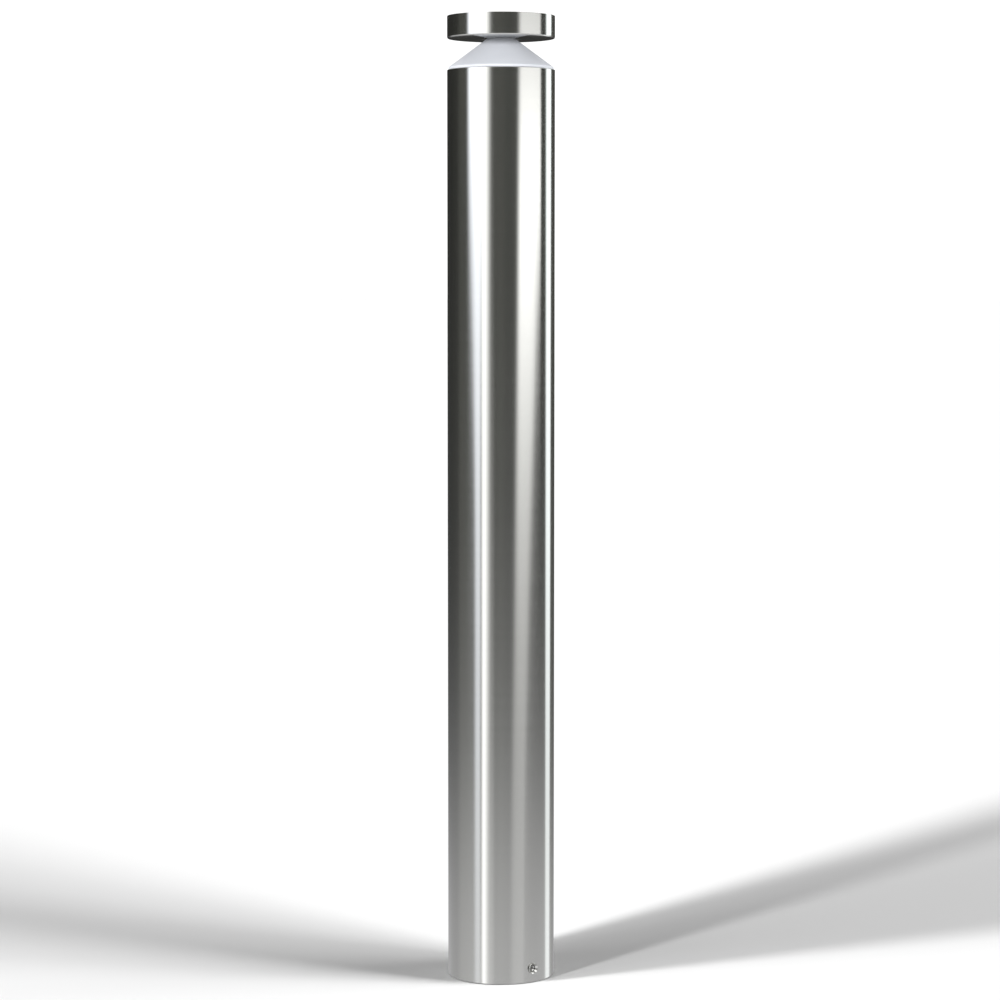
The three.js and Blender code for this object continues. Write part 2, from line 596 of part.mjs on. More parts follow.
// ---- Junction box inside the column's lower end ----
const BOX = { half: 28, back: 25.6, front: -5.4, bottom: 74, top: 158, wall: 2.5 };
const LID = { back: BOX.front - 1.6, front: BOX.front - 5.6 };
const LID_SCREW = { x: 23.4, inset: 4.8 };
const SUPPLY_GLAND = { x: 0, y: 9, thread: 10, cable: 6.5 };
const OUTLET_GLAND = { x: 0, y: 9, thread: 7.6, cable: 3.5 };
const TERMINAL = { half: 15.5, front: 7, back: BOX.back - BOX.wall - JOINT_GAP, bottom: 104, top: 124 };
const POLE_X = [-10, 0, 10];
const TERMINAL_ROWS = [TERMINAL.bottom + 5, TERMINAL.top - 5];

function lidScrewPoints() {
  const heights = [BOX.bottom + LID_SCREW.inset, BOX.top - LID_SCREW.inset];
  return heights.flatMap((z) => [-LID_SCREW.x, LID_SCREW.x].map((x) => [x, z]));
}

// A cutter along Y between two depths, at x and z.
function frontHole(x, z, radius, y0, y1) {
  return disc(radius, -y1, -y0, TINY).rotateX(Math.PI / 2).translate(x, 0, z);
}

function makeJunctionBox() {
  const { half, back, front, bottom, top, wall } = BOX;
  const outer = block([-half, front, bottom], [half, back, top]);
  const cavity = block([-half + wall, front - 1, bottom + wall], [half - wall, back - wall, top - wall]);
  const bossBack = back - wall / 2;
  const bosses = lidScrewPoints().map(([x, z]) => block([x - 3, front, z - 3], [x + 3, bossBack, z + 3]));
  const pilots = lidScrewPoints().map(([x, z]) => frontHole(x, z, M3_PILOT, front - 1, front + 10));
  const glandHoles = [
    disc(SUPPLY_GLAND.thread + JOINT_GAP, bottom - 1, bottom + wall + 1, SMALL)
      .translate(SUPPLY_GLAND.x, SUPPLY_GLAND.y, 0),
    disc(OUTLET_GLAND.thread + JOINT_GAP, top - wall - 1, top + 1, SMALL)
      .translate(OUTLET_GLAND.x, OUTLET_GLAND.y, 0),
  ];
  return cut(join(cut(outer, cavity), ...bosses), ...pilots, ...glandHoles);
}

function makeBoxLid() {
  const plate = block([-BOX.half, LID.front, BOX.bottom], [BOX.half, LID.back, BOX.top]);
  const clearances = lidScrewPoints().map(([x, z]) =>
    frontHole(x, z, M3_CLEARANCE, LID.front - 1, LID.back + 1),
  );
  return cut(plate, ...clearances);
}

function makeLidGasket() {
  const outer = { half: BOX.half - 0.5, rim: 0.5 };
  const frame = block(
    [-outer.half, BOX.front - 1.3, BOX.bottom + outer.rim],
    [outer.half, BOX.front - JOINT_GAP, BOX.top - outer.rim],
  );
  const rimWidth = 1.5;
  const window = block(
    [-outer.half + rimWidth, BOX.front - 3, BOX.bottom + outer.rim + rimWidth],
    [outer.half - rimWidth, BOX.front + 1, BOX.top - outer.rim - rimWidth],
  );
  return cut(frame, window);
}

function makeTerminalBlock() {
  const { half, front, back, bottom, top } = TERMINAL;
  const body = block([-half, front, bottom], [half, back, top]);
  const wells = POLE_X.flatMap((x) => TERMINAL_ROWS.map((z) => frontHole(x, z, 2.6, front - 1, front + 6)));
  const entries = POLE_X.flatMap((x) => [
    disc(1.9, bottom - 1, bottom + 3, TINY).translate(x, front + 9.5, 0),
    disc(1.9, top - 3, top + 1, TINY).translate(x, front + 9.5, 0),
  ]);
  const grooves = [-5, 5].map((x) => block([x - 0.6, front - 1, bottom - 1], [x + 0.6, front + 2, top + 1]));
  return cut(body, ...wells, ...entries, ...grooves);
}

function makeTerminalScrew() {
  const body = disc(2.2, 0, 4.5, TINY);
  return cut(body, block([-3, -0.4, 3.5], [3, 0.4, 5]));
}

// The spring band that braces the box against the column's bore.
const CLIP = { outer: 42.4, thickness: 1.2, bottom: 108, top: 126 };
CLIP.strapFront = BOX.back + JOINT_GAP;
CLIP.strapReach = 32.3;
CLIP.mouthHalf = 22;

function makeBoxClip() {
  const { outer, thickness, bottom, top, strapFront, strapReach, mouthHalf } = CLIP;
  const band = ring(outer - thickness, outer, bottom, top, LARGE);
  const mouth = block([-mouthHalf, -outer - 1, bottom - 1], [mouthHalf, 0, top + 1]);
  const strap = block([-strapReach, strapFront, bottom], [strapReach, strapFront + thickness, top]);
  return join(cut(band, mouth), strap);
}

// A cable gland built upwards from the wall it screws into, at z = 0, with its dome nut on top.
function glandShapes({ thread, cable: cableRadius }) {
  const collar = thread + 3;
  const bore = cableRadius + 0.9;
  const body = turned(
    [[bore, -8], [thread, -8], [thread, JOINT_GAP], [collar, JOINT_GAP], [collar, 6],
      [thread, 6], [thread, 12], [bore, 12]],
    SMALL,
  );
  const nutInner = thread + JOINT_GAP;
  const seatInner = thread - 1;
  const nut = turned(
    [[nutInner, 6.4], [collar - 0.6, 6.4], [collar - 0.6, 14], [collar - 2.4, 19],
      [cableRadius + 1, 20.4], [cableRadius + 0.7, 20.4], [cableRadius + 0.7, 18.2],
      [seatInner, 17], [seatInner, 12.4], [nutInner, 12.4]],
    SMALL,
  );
  const seal = ring(cableRadius + 0.35, seatInner - JOINT_GAP, 12.6, 16.6, SMALL);
  return { body, nut, seal };
}

function addGland(prefix, shape, wallHeight, pointsUp) {
  const shapes = glandShapes(shape);
  const gland = new THREE.Group();
  gland.position.set(shape.x, shape.y, wallHeight);
  if (!pointsUp) gland.rotation.x = Math.PI;
  bollard.add(gland);
  add(`${prefix}_gland_body`, shapes.body, GREY_PLASTIC, gland);
  add(`${prefix}_gland_nut`, shapes.nut, GREY_PLASTIC, gland);
  add(`${prefix}_gland_seal`, shapes.seal, BLACK_RUBBER, gland);
}

add("junction_box", makeJunctionBox(), GREY_PLASTIC);
add("box_lid", makeBoxLid(), GREY_PLASTIC);
add("lid_gasket", makeLidGasket(), BLACK_RUBBER);
lidScrewPoints().forEach(([x, z], i) => {
  const screw = add(`lid_screw_${i + 1}`, socketScrew({ ...M3, length: 12 }), ZINC_STEEL);
  screw.position.set(x, LID.front - JOINT_GAP, z);
  screw.rotation.x = Math.PI / 2;
});
add("terminal_block", makeTerminalBlock(), WHITE_PLASTIC);
TERMINAL_ROWS.flatMap((z) => POLE_X.map((x) => [x, z])).forEach(([x, z], i) => {
  const screw = add(`terminal_screw_${i + 1}`, makeTerminalScrew(), BRASS);
  screw.position.set(x, TERMINAL.front + 5.5, z);
  screw.rotation.x = Math.PI / 2;
});
add("box_clip", makeBoxClip(), ZINC_STEEL);
addGland("supply", SUPPLY_GLAND, BOX.bottom, false);
addGland("outlet", OUTLET_GLAND, BOX.top, true);

// ---- Wiring held inside the column ----
const CABLE_TAIL = { x: -3, y: 4 }; // where the cable enters the driver
const CABLE_ROUTE = [
  [OUTLET_GLAND.x, OUTLET_GLAND.y, BOX.top - 14],
  [OUTLET_GLAND.x, OUTLET_GLAND.y, BOX.top + 2],
  [OUTLET_GLAND.x, OUTLET_GLAND.y, BOX.top + 14],
  [OUTLET_GLAND.x, OUTLET_GLAND.y, BOX.top + 26],
  [0, 11, 200],
  [0, 22, 225],
  [0, 30, 255],
  [0, 33, 300],
  [0, 34, 400],
  [0, 33.5, 500],
  [0, 31, 545],
  [0, 21, 578],
  [-1, 10, 600],
  [-2, 5.5, 615],
  [CABLE_TAIL.x, CABLE_TAIL.y, DRIVER.bottom - 12],
  [CABLE_TAIL.x, CABLE_TAIL.y, DRIVER.bottom - JOINT_GAP],
];
const LED_LEAD_ROUTE = [
  [0, -5.5, DRIVER.top + JOINT_GAP],
  [0, -5.5, DRIVER.top + 2],
  [0, -9.2, DRIVER.top + 6],
  [0, LEAD_HOLE.y, DRIVER.top + 11],
  [0, LEAD_HOLE.y, CARRIER_TOP - 1],
  [0, LEAD_HOLE.y, CARRIER_TOP + 2.4],
  [0, LEAD_HOLE.y - 2, CARRIER_TOP + 4.7],
  [0, LEAD_HOLE.y - 4.6, CARRIER_TOP + 4.9],
];
const EARTH_ROUTE = [
  [CABLE_TAIL.x + OUTLET_GLAND.cable + 1.6, CABLE_TAIL.y, DRIVER.bottom - 9],
  [3, 4.5, DRIVER.bottom - 12],
  [6, 7, DRIVER.bottom - 13.5],
  [EARTH_SCREW_POINT.x, 10.6, EARTH_SCREW_POINT.z + 5.2],
];

add("internal_cable", cable(CABLE_ROUTE, OUTLET_GLAND.cable, 8, 40), CABLE_SHEATH);
add("led_lead", cable(LED_LEAD_ROUTE, 1.5, 8, 18), WIRE_WHITE);
add("earth_lead", cable(EARTH_ROUTE, 1.2, 8, 12), EARTH_WIRE);

export default bollard;
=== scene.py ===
"""Bollard light: finished meshes, materials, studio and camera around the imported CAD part.

Metres, +Z up, the front is -Y. Shapes are written in millimetres and scaled when their mesh is made.
"""

import json
from math import atan2, cos, hypot, pi, radians, sin, sqrt, tan
from types import SimpleNamespace

import bmesh
import bpy
from mathutils import Matrix, Vector

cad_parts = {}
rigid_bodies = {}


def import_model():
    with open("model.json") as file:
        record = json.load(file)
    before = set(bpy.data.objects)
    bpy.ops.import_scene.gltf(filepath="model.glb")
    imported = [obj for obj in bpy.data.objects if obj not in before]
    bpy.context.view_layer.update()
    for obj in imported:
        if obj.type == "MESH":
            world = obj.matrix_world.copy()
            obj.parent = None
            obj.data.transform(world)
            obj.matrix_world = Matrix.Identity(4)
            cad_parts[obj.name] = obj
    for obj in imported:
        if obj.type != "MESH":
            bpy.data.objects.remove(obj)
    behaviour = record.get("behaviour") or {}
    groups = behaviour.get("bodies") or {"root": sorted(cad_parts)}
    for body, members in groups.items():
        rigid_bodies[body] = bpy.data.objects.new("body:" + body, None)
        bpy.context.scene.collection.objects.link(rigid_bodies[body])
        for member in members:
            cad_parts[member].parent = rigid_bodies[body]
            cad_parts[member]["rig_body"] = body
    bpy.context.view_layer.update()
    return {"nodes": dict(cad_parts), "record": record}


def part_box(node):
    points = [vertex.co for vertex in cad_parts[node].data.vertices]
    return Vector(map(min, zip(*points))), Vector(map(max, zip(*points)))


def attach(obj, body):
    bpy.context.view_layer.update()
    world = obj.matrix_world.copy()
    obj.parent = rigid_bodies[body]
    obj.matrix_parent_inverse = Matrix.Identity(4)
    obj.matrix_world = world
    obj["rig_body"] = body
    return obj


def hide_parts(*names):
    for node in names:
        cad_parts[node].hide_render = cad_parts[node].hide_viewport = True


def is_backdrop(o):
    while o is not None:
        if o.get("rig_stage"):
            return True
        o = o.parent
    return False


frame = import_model()

MM = 0.001
ROUND = 192  # facets round the column, the cap and the cone
SMALL_ROUND = 48  # facets round screws, nuts and glands
FILLET_STEPS = 4
AXIS_RADIUS = 1e-6  # closer to the axis than this counts as on it
LEAST_RADIAL = 0.9  # how much of a turned face's normal lies in the plane through the axis
LEAST_AGREEMENT = 0.8  # cosine between a facet's normal and its profile's
FACET_GAP = 0.03  # the most a facet lies off its profile
SMOOTH_TOGETHER = 0.75  # cosine between neighbours' normals that share one


# ---- Measures taken from the frame ----
def measure(node):
    """A CAD node's box in millimetres."""
    low, high = (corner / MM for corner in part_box(node))
    middle = (low + high) / 2
    return SimpleNamespace(
        x0=low.x, x1=high.x, y0=low.y, y1=high.y, z0=low.z, z1=high.z, x=middle.x, y=middle.y, z=middle.z
    )


tube = measure("column_tube")
cap = measure("cap_shell")
COLUMN_RADIUS = tube.x1
COLUMN_WALL = 1.5
BORE_RADIUS = COLUMN_RADIUS - COLUMN_WALL
CAP_WALL = 1.2
SLOTS = {part["node"]: part["material_slot"] for part in frame["record"]["subparts"]}
BODY_OF = {node: piece["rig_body"] for node, piece in frame["nodes"].items()}


# ---- Camera ----
CAMERA_PLACE = (-0.86 * MM, -2.391, 0.5907)
CAMERA_PITCH_DOWN = 4.55  # degrees
CAMERA_LENS = 103.5  # mm on a 36 mm sensor


def make_camera():
    data = bpy.data.cameras.new("camera")
    data.lens = CAMERA_LENS
    data.sensor_width = 36.0
    camera = bpy.data.objects.new("camera", data)
    camera.location = CAMERA_PLACE
    camera.rotation_euler = (radians(90 - CAMERA_PITCH_DOWN), 0, 0)
    bpy.context.scene.collection.objects.link(camera)
    bpy.context.scene.camera = camera


# ---- Turned shapes ----
def across(direction):
    """The outward normal of a profile that runs anticlockwise in this direction."""
    return Vector((direction.y, -direction.x))


def corner_rows(before, corner, after, fillet):
    """[(point, normal before, normal after)] for one corner, with its fillet as an arc."""
    into = (corner - before).normalized()
    out = (after - corner).normalized()
    if fillet == 0:
        return [(corner, across(into), across(out))]
    bend = atan2(into.x * out.y - into.y * out.x, into.dot(out))
    side = 1 if bend > 0 else -1
    start = corner - into * fillet * tan(abs(bend) / 2)
    centre = start - across(into) * fillet * side
    heading = atan2(across(into).y, across(into).x)
    rows = []
    for step in range(FILLET_STEPS + 1):
        angle = heading + bend * step / FILLET_STEPS
        normal = Vector((cos(angle), sin(angle)))
        rows.append((centre + normal * fillet * side, normal, normal))
    return rows


def profile_rows(profile):
    """The rows of an anticlockwise profile of (radius, height) or (radius, height, fillet)."""
    points = [Vector(entry[:2]) for entry in profile]
    fillets = [entry[2] if len(entry) > 2 else 0 for entry in profile]
    count = len(points)
    rows = []
    for i, point in enumerate(points):
        rows += corner_rows(points[i - 1], point, points[(i + 1) % count], fillets[i])
    return rows


def ring(inner, outer, low, high, fillet=0.0):
    """The profile of a plain ring."""
    return [(inner, low, fillet), (outer, low, fillet), (outer, high, fillet), (inner, high, fillet)]


def new_object(name, mesh):
    made = bpy.data.objects.new(name, mesh)
    bpy.context.scene.collection.objects.link(made)
    return made


def from_lists(name, vertices, faces):
    mesh = bpy.data.meshes.new(name)
    mesh.from_pydata(vertices, [], faces)
    return new_object(name, mesh)


def lathe(profile, segments=ROUND):
    """A solid of revolution about Z. Its corner normals are exact, so long highlights stay clean."""
    rows = profile_rows(profile)
    vertices, circles = [], []
    for point, _, _ in rows:
        on_axis = point.x < AXIS_RADIUS
        circle = [len(vertices)] * segments if on_axis else [len(vertices) + i for i in range(segments)]
        for i in range(1 if on_axis else segments):
            turn = 2 * pi * i / segments
            vertices.append((point.x * cos(turn) * MM, point.x * sin(turn) * MM, point.y * MM))
        circles.append((circle, on_axis))
    faces, normals = [], []
    for k, (low, low_on_axis) in enumerate(circles):
        high, high_on_axis = circles[(k + 1) % len(circles)]
        if low_on_axis and high_on_axis:
            continue
        first, last = rows[k][2], rows[(k + 1) % len(rows)][1]
        for i in range(segments):
            j = (i + 1) % segments
            corners = {}
            loop = ((low[i], i, first), (low[j], j, first), (high[j], j, last), (high[i], i, last))
            for vertex, step, normal in loop:
                turn = 2 * pi * step / segments
                corners.setdefault(vertex, (normal.x * cos(turn), normal.x * sin(turn), normal.y))
            faces.append(tuple(corners))
            normals += corners.values()
    piece = from_lists("lathe", vertices, faces)
    piece.data.shade_smooth()
    piece.data.normals_split_custom_set(normals)
    return piece


def turned_normal(spans, place, normal):
    """The exact normal of the turned surface at a point, or None if this face isn't part of it."""
    radius = hypot(place.x, place.y)
    on_axis = radius / MM < AXIS_RADIUS
    outward = Vector((1, 0)) if on_axis else Vector((place.x, place.y)) / radius
    flat = Vector((normal.x * outward.x + normal.y * outward.y, normal.z))
    if flat.length < LEAST_RADIAL and not on_axis:
        return None
    best = None
    spot = Vector((radius / MM, place.z / MM))
    for start, end, first, last in spans:
        if (first + last).normalized().dot(Vector((0, normal.z)) if on_axis else flat) < LEAST_AGREEMENT:
            continue
        along = end - start
        share = min(1, max(0, (spot - start).dot(along) / along.length_squared))
        gap = (start + along * share - spot).length
        if gap < FACET_GAP and (best is None or gap < best[0]):
            best = (gap, first.lerp(last, share).normalized())
    if best is None:
        return None
    return Vector((outward.x * best[1].x, outward.y * best[1].x, best[1].y)).normalized()


def shade_turned(piece, rows):
    """Sets exact normals where the mesh is still the turned surface, and smoothed ones elsewhere."""
    mesh = piece.data
    spans = []
    for (start, _, first), (end, last, _) in zip(rows, rows[1:] + rows[:1]):
        if (end - start).length > AXIS_RADIUS and not (start.x < AXIS_RADIUS and end.x < AXIS_RADIUS):
            spans.append((start, end, first, last))
    normals = [None] * len(mesh.loops)
    loose = {}
    for face in mesh.polygons:
        middle = face.center
        for loop in face.loop_indices:
            vertex = mesh.loops[loop].vertex_index
            place = mesh.vertices[vertex].co
            if hypot(place.x, place.y) / MM < AXIS_RADIUS:
                # A tip on the axis takes its direction from the facet.
                place = Vector((middle.x * 1e-3, middle.y * 1e-3, place.z))
            normals[loop] = turned_normal(spans, place, face.normal)
            if normals[loop] is None:
                loose.setdefault(vertex, []).append((face.normal.copy(), face.area))
    for face in mesh.polygons:
        for loop in face.loop_indices:
            if normals[loop] is None:
                near = loose[mesh.loops[loop].vertex_index]
                total = sum((n * a for n, a in near if n.dot(face.normal) > SMOOTH_TOGETHER), Vector())
                normals[loop] = total.normalized() if total.length > 0 else face.normal.copy()
    mesh.shade_smooth()
    mesh.normals_split_custom_set(normals)
    mesh.update()


# ---- Cutting, joining and bevelling ----
def turned(profile, segments=ROUND, cutters=()):
    """A solid of revolution with these shapes cut away, its normals still exact."""
    piece = cut(lathe(profile, segments), *cutters)
    shade_turned(piece, profile_rows(profile))
    return piece


def bake(piece):
    """Applies a piece's modifiers to its mesh."""
    graph = bpy.context.evaluated_depsgraph_get()
    made = bpy.data.meshes.new_from_object(piece.evaluated_get(graph))
    old = piece.data
    piece.modifiers.clear()
    piece.data = made
    made.name = piece.name
    bpy.data.meshes.remove(old)
    return piece


def combine(piece, operation, others):
    for other in others:
        step = piece.modifiers.new("combine", "BOOLEAN")
        step.operation = operation
        step.solver = "EXACT"
        step.object = other
    bake(piece)
    for other in others:
        bpy.data.objects.remove(other)
    return piece


def cut(piece, *others):
    return combine(piece, "DIFFERENCE", others)


def join(piece, *others):
    return combine(piece, "UNION", others)


def turn_to(piece, matrix):
    """Moves a shape's vertices, in millimetres, before it's cut or joined."""
    piece.data.transform(Matrix.Scale(MM, 4) @ matrix @ Matrix.Scale(1 / MM, 4))
    return piece


def polar(radius, angle):
    return radius * cos(angle), radius * sin(angle)


def walls(steps, circles=2):
    """Faces between circles of this many vertices."""
    return [
        (k * steps + i, k * steps + (i + 1) % steps, (k + 1) * steps + (i + 1) % steps, (k + 1) * steps + i)
        for k in range(circles - 1)
        for i in range(steps)
    ]


def extruded(outline, low, high):
    """An upright solid between two heights with this anticlockwise outline."""
    count = len(outline)
    vertices = [(x * MM, y * MM, z * MM) for z in (low, high) for x, y in outline]
    ends = [tuple(reversed(range(count))), tuple(range(count, 2 * count))]
    return from_lists("extruded", vertices, walls(count) + ends)


def prism(sides, radius, low, high, corner=0.0):
    """An upright prism with its first corner at this angle."""
    return extruded([polar(radius, corner + 2 * pi * i / sides) for i in range(sides)], low, high)


def hexagon(across_flats, low, high):
    return prism(6, across_flats / 2 / cos(pi / 6), low, high, pi / 6)


def drill(x, y, radius, low, high):
    """An upright round cutter."""
    return turn_to(prism(32, radius, low, high), Matrix.Translation((x, y, 0)))


def front_drill(x, z, radius, near, far):
    """A round cutter along Y between two depths."""
    upright = prism(32, radius, -far, -near)
    return turn_to(upright, Matrix.Translation((x, 0, z)) @ Matrix.Rotation(pi / 2, 4, "X"))


def made_of(shape, name):
    """An object with this edited mesh."""
    mesh = bpy.data.meshes.new(name)
    shape.to_mesh(mesh)
    shape.free()
    return new_object(name, mesh)


def gather(*shapes):
    """Separate shapes as one mesh."""
    whole = bmesh.new()
    for shape in shapes:
        whole.from_mesh(shape.data)
        bpy.data.objects.remove(shape)
    return made_of(whole, "gathered")


def thread(radius, low, high, pitch, depth):
    """Profile points up a thread, drawn as rings."""
    points = []
    height = low
    while height + pitch < high:
        points += [(radius, height), (radius - depth, height + pitch / 2)]
        height += pitch
    return points + [(radius, high)]


def block(low, high, bevel=0.0):
    """A box between two corners, its edges rounded."""
    shape = bmesh.new()
    bmesh.ops.create_cube(shape, size=1)
    size = Vector(high) - Vector(low)
    middle = (Vector(high) + Vector(low)) / 2
    for vertex in shape.verts:
        vertex.co = Vector((vertex.co.x * size.x, vertex.co.y * size.y, vertex.co.z * size.z)) + middle
    if bevel:
        bmesh.ops.bevel(shape, geom=shape.edges[:], offset=bevel, segments=3, profile=0.5, affect="EDGES")
    for vertex in shape.verts:
        vertex.co *= MM
    return made_of(shape, "block")


def filled(box, bevel):
    """A block that fills a measured box."""
    return block((box.x0, box.y0, box.z0), (box.x1, box.y1, box.z1), bevel)


def soften(piece, bevel=0.0, sharp=35):
    """Bevels the sharp edges and weights the normals by face area."""
    mesh = piece.data
    if bevel:
        step = piece.modifiers.new("bevel", "BEVEL")
        step.width = bevel * MM
        step.segments = 2
        step.limit_method = "ANGLE"
        step.angle_limit = radians(sharp)
        step.use_clamp_overlap = True
        bake(piece)
        mesh = piece.data
    mesh.shade_smooth()
    mesh.set_sharp_from_angle(angle=radians(sharp))
    step = piece.modifiers.new("normals", "WEIGHTED_NORMAL")
    step.keep_sharp = True
    step.weight = 100
    return bake(piece)


def welded(node):
    """An editable copy of a CAD node's mesh, its facets joined up."""
    shape = bmesh.new()
    shape.from_mesh(frame["nodes"][node].data)
    bmesh.ops.remove_doubles(shape, verts=shape.verts[:], dist=1e-6)
    return shape


def refined(node, bevel):
    """A bevelled copy of a CAD node."""
    shape = welded(node)
    flat = radians(0.5)
    bmesh.ops.dissolve_limit(shape, angle_limit=flat, verts=shape.verts[:], edges=shape.edges[:])
    return soften(made_of(shape, "refined"), bevel)


def smoothed(node):
    """A CAD cable, rounded by subdivision."""
    shape = welded(node)
    right = radians(90)
    bmesh.ops.join_triangles(shape, faces=shape.faces[:], angle_face_threshold=right, angle_shape_threshold=right)
    piece = made_of(shape, "smoothed")
    step = piece.modifiers.new("rounding", "SUBSURF")
    step.levels = step.render_levels = 2
    bake(piece)
    piece.data.shade_smooth()
    return piece


# ---- Material helpers ----
def srgb(red, green, blue):
    """A linear RGBA colour from 0-255 display values."""
    return tuple((value / 255) ** 2.2 for value in (red, green, blue)) + (1.0,)


class Shader:
    """A material's node tree, with short calls for the nodes that the finishes below share."""

    def __init__(self, name):
        self.material = bpy.data.materials.new(name)
        self.material.use_nodes = True
        self.nodes = self.material.node_tree.nodes
        self.links = self.material.node_tree.links
        self.surface = self.nodes["Principled BSDF"]

    def node(self, kind, **values):
        made = self.nodes.new("ShaderNode" + kind)
        for key, value in values.items():
            setattr(made, key, value)
        return made

    def feed(self, socket, value):
        if isinstance(value, bpy.types.NodeSocket):
            self.links.new(value, socket)
        else:
            socket.default_value = value

    def set(self, node, **values):
        for key, value in values.items():
            self.feed(node.inputs[key.replace("_", " ")], value)
        return node

    def place(self, scale=(1, 1, 1)):
        """Object coordinates in metres, stretched."""
        coordinates = self.node("TexCoord").outputs["Object"]
        mapping = self.node("Mapping")
        mapping.inputs["Scale"].default_value = scale
        self.links.new(coordinates, mapping.inputs["Vector"])
        return mapping.outputs["Vector"]

    def noise(self, vector, scale, detail=3.0, roughness=0.55):
        texture = self.node("TexNoise")
        self.set(texture, Vector=vector, Scale=scale, Detail=detail, Roughness=roughness)
        return texture.outputs["Fac"]

    def span(self, value, low, high, to_low, to_high):
        """value rescaled from low..high to to_low..to_high."""
        ranger = self.node("MapRange")
        for socket, number in zip(ranger.inputs[1:5], (low, high, to_low, to_high)):
            socket.default_value = number
        self.links.new(value, ranger.inputs[0])
        return ranger.outputs[0]

    def blend(self, factor, first, second):
        mixer = self.node("Mix", data_type="RGBA")
        # The colour sockets of the node follow its number and vector ones.
        for index, value in ((0, factor), (6, first), (7, second)):
            self.feed(mixer.inputs[index], value)
        return mixer.outputs[2]

    def math(self, operation, first, second):
        worker = self.node("Math", operation=operation)
        self.feed(worker.inputs[0], first)
        self.feed(worker.inputs[1], second)
        return worker.outputs[0]

    def bump(self, height, distance, strength=1.0):
        bumper = self.node("Bump")
        self.set(bumper, Height=height, Distance=distance, Strength=strength)
        self.links.new(bumper.outputs["Normal"], self.surface.inputs["Normal"])


# ---- Finishes: colours in display values, depths of grain in millimetres ----
def darker(colour, share):
    return tuple((1 - share) * part for part in colour[:3]) + (1.0,)


def brushed_round(name, colour, roughness, anisotropy, grain):
    """Steel brushed round the Z axis, so highlights draw out along it."""
    s = Shader(name)
    fine = s.noise(s.place((14, 14, 9000)), 1.0, detail=3.0)
    broad = s.noise(s.place((3, 3, 240)), 1.0, detail=2.0)
    smudge = s.noise(s.place(), 7.0, detail=4.0)
    tone = s.blend(s.span(fine, 0.3, 0.7, 0, 1), darker(srgb(*colour), 0.05), srgb(*colour))
    s.set(s.surface, Base_Color=tone, Metallic=1.0, Anisotropic=anisotropy, Anisotropic_Rotation=0.25)
    worn = s.math("ADD", s.span(broad, 0.3, 0.7, -0.006, 0.006), s.span(smudge, 0.3, 0.7, -0.004, 0.01))
    s.set(s.surface, Roughness=s.math("ADD", worn, s.span(fine, 0.2, 0.8, roughness - 0.01, roughness + 0.01)))
    s.bump(fine, grain * MM)
    tangent = s.node("Tangent", direction_type="RADIAL", axis="Z")
    s.links.new(tangent.outputs[0], s.surface.inputs["Tangent"])
    return s.material


def grained(name, colour, grain_scale, detail, grain, patch_scale, patch):
    """A shader with fine grain and slow patches of a darker tone, and the grain's own value."""
    s = Shader(name)
    speckle = s.noise(s.place(), grain_scale, detail=detail)
    patches = s.noise(s.place(), patch_scale, detail=2.0)
    s.set(s.surface, Base_Color=s.blend(patches, darker(srgb(*colour), patch), srgb(*colour)))
    s.bump(speckle, grain * MM)
    return s, speckle


def plain_metal(name, colour, roughness, grain_scale, grain, patch=0.08):
    s, speckle = grained(name, colour, grain_scale, 5.0, grain, 60.0, patch)
    s.set(s.surface, Metallic=1.0, Roughness=s.span(speckle, 0.25, 0.75, roughness * 0.85, roughness * 1.2))
    return s.material


def moulded(name, colour, roughness, grain_scale, grain, mottle=0.06):
    s, speckle = grained(name, colour, grain_scale, 4.0, grain, 45.0, mottle)
    s.set(s.surface, Roughness=s.span(speckle, 0.25, 0.75, roughness - 0.06, roughness + 0.06))
    return s.material


def opal(name):
    """Matt opal polycarbonate: light sinks in a little before it leaves."""
    s = Shader(name)
    speckle = s.noise(s.place(), 900.0, detail=3.0)
    clouds = s.noise(s.place(), 40.0, detail=2.0)
    tone = s.blend(clouds, srgb(214, 217, 224), srgb(226, 229, 235))
    s.set(s.surface, Base_Color=tone, Subsurface_Weight=0.35, Subsurface_Scale=2.5 * MM)
    s.surface.inputs["Subsurface Radius"].default_value = (1.0, 1.0, 1.0)
    s.set(s.surface, Roughness=s.span(speckle, 0.25, 0.75, 0.42, 0.5))
    s.bump(speckle, 0.01 * MM)
    return s.material


# Colour, roughness, scale and depth of the grain, and how much darker the patches are if not the usual.
METALS = {
    "polished_stainless": ((190, 190, 188), 0.08, 1500.0, 0.0008),
    "zinc_steel": ((176, 180, 184), 0.42, 700.0, 0.01),
    "cast_aluminium": ((170, 172, 175), 0.55, 900.0, 0.05),
    "brass": ((196, 160, 92), 0.33, 900.0, 0.01),
    # This and phosphor are for the board's tracks and lenses.
    "copper_track": ((205, 172, 110), 0.3, 900.0, 0.002),
}
PLASTICS = {
    "grey_plastic": ((150, 154, 157), 0.5, 1200.0, 0.02),
    "white_plastic": ((230, 229, 224), 0.45, 1200.0, 0.015),
    "black_rubber": ((34, 35, 37), 0.75, 1500.0, 0.03, 0.2),
    "silicone": ((198, 201, 205), 0.6, 700.0, 0.01),
    "white_board": ((236, 238, 238), 0.4, 800.0, 0.006, 0.03),
    "cable_sheath": ((30, 30, 32), 0.6, 1100.0, 0.02, 0.2),
    "white_wire": ((222, 222, 218), 0.5, 900.0, 0.01),
    "earth_wire": ((118, 158, 48), 0.5, 900.0, 0.01),
    "phosphor": ((232, 206, 104), 0.3, 900.0, 0.004),
}
materials = {name: plain_metal(name, *values) for name, values in METALS.items()}
materials.update((name, moulded(name, *values)) for name, values in PLASTICS.items())
materials["brushed_stainless"] = brushed_round("brushed_stainless", (199, 199, 196), 0.15, 0.5, 0.0004)
materials["opal_diffuser"] = opal("opal_diffuser")


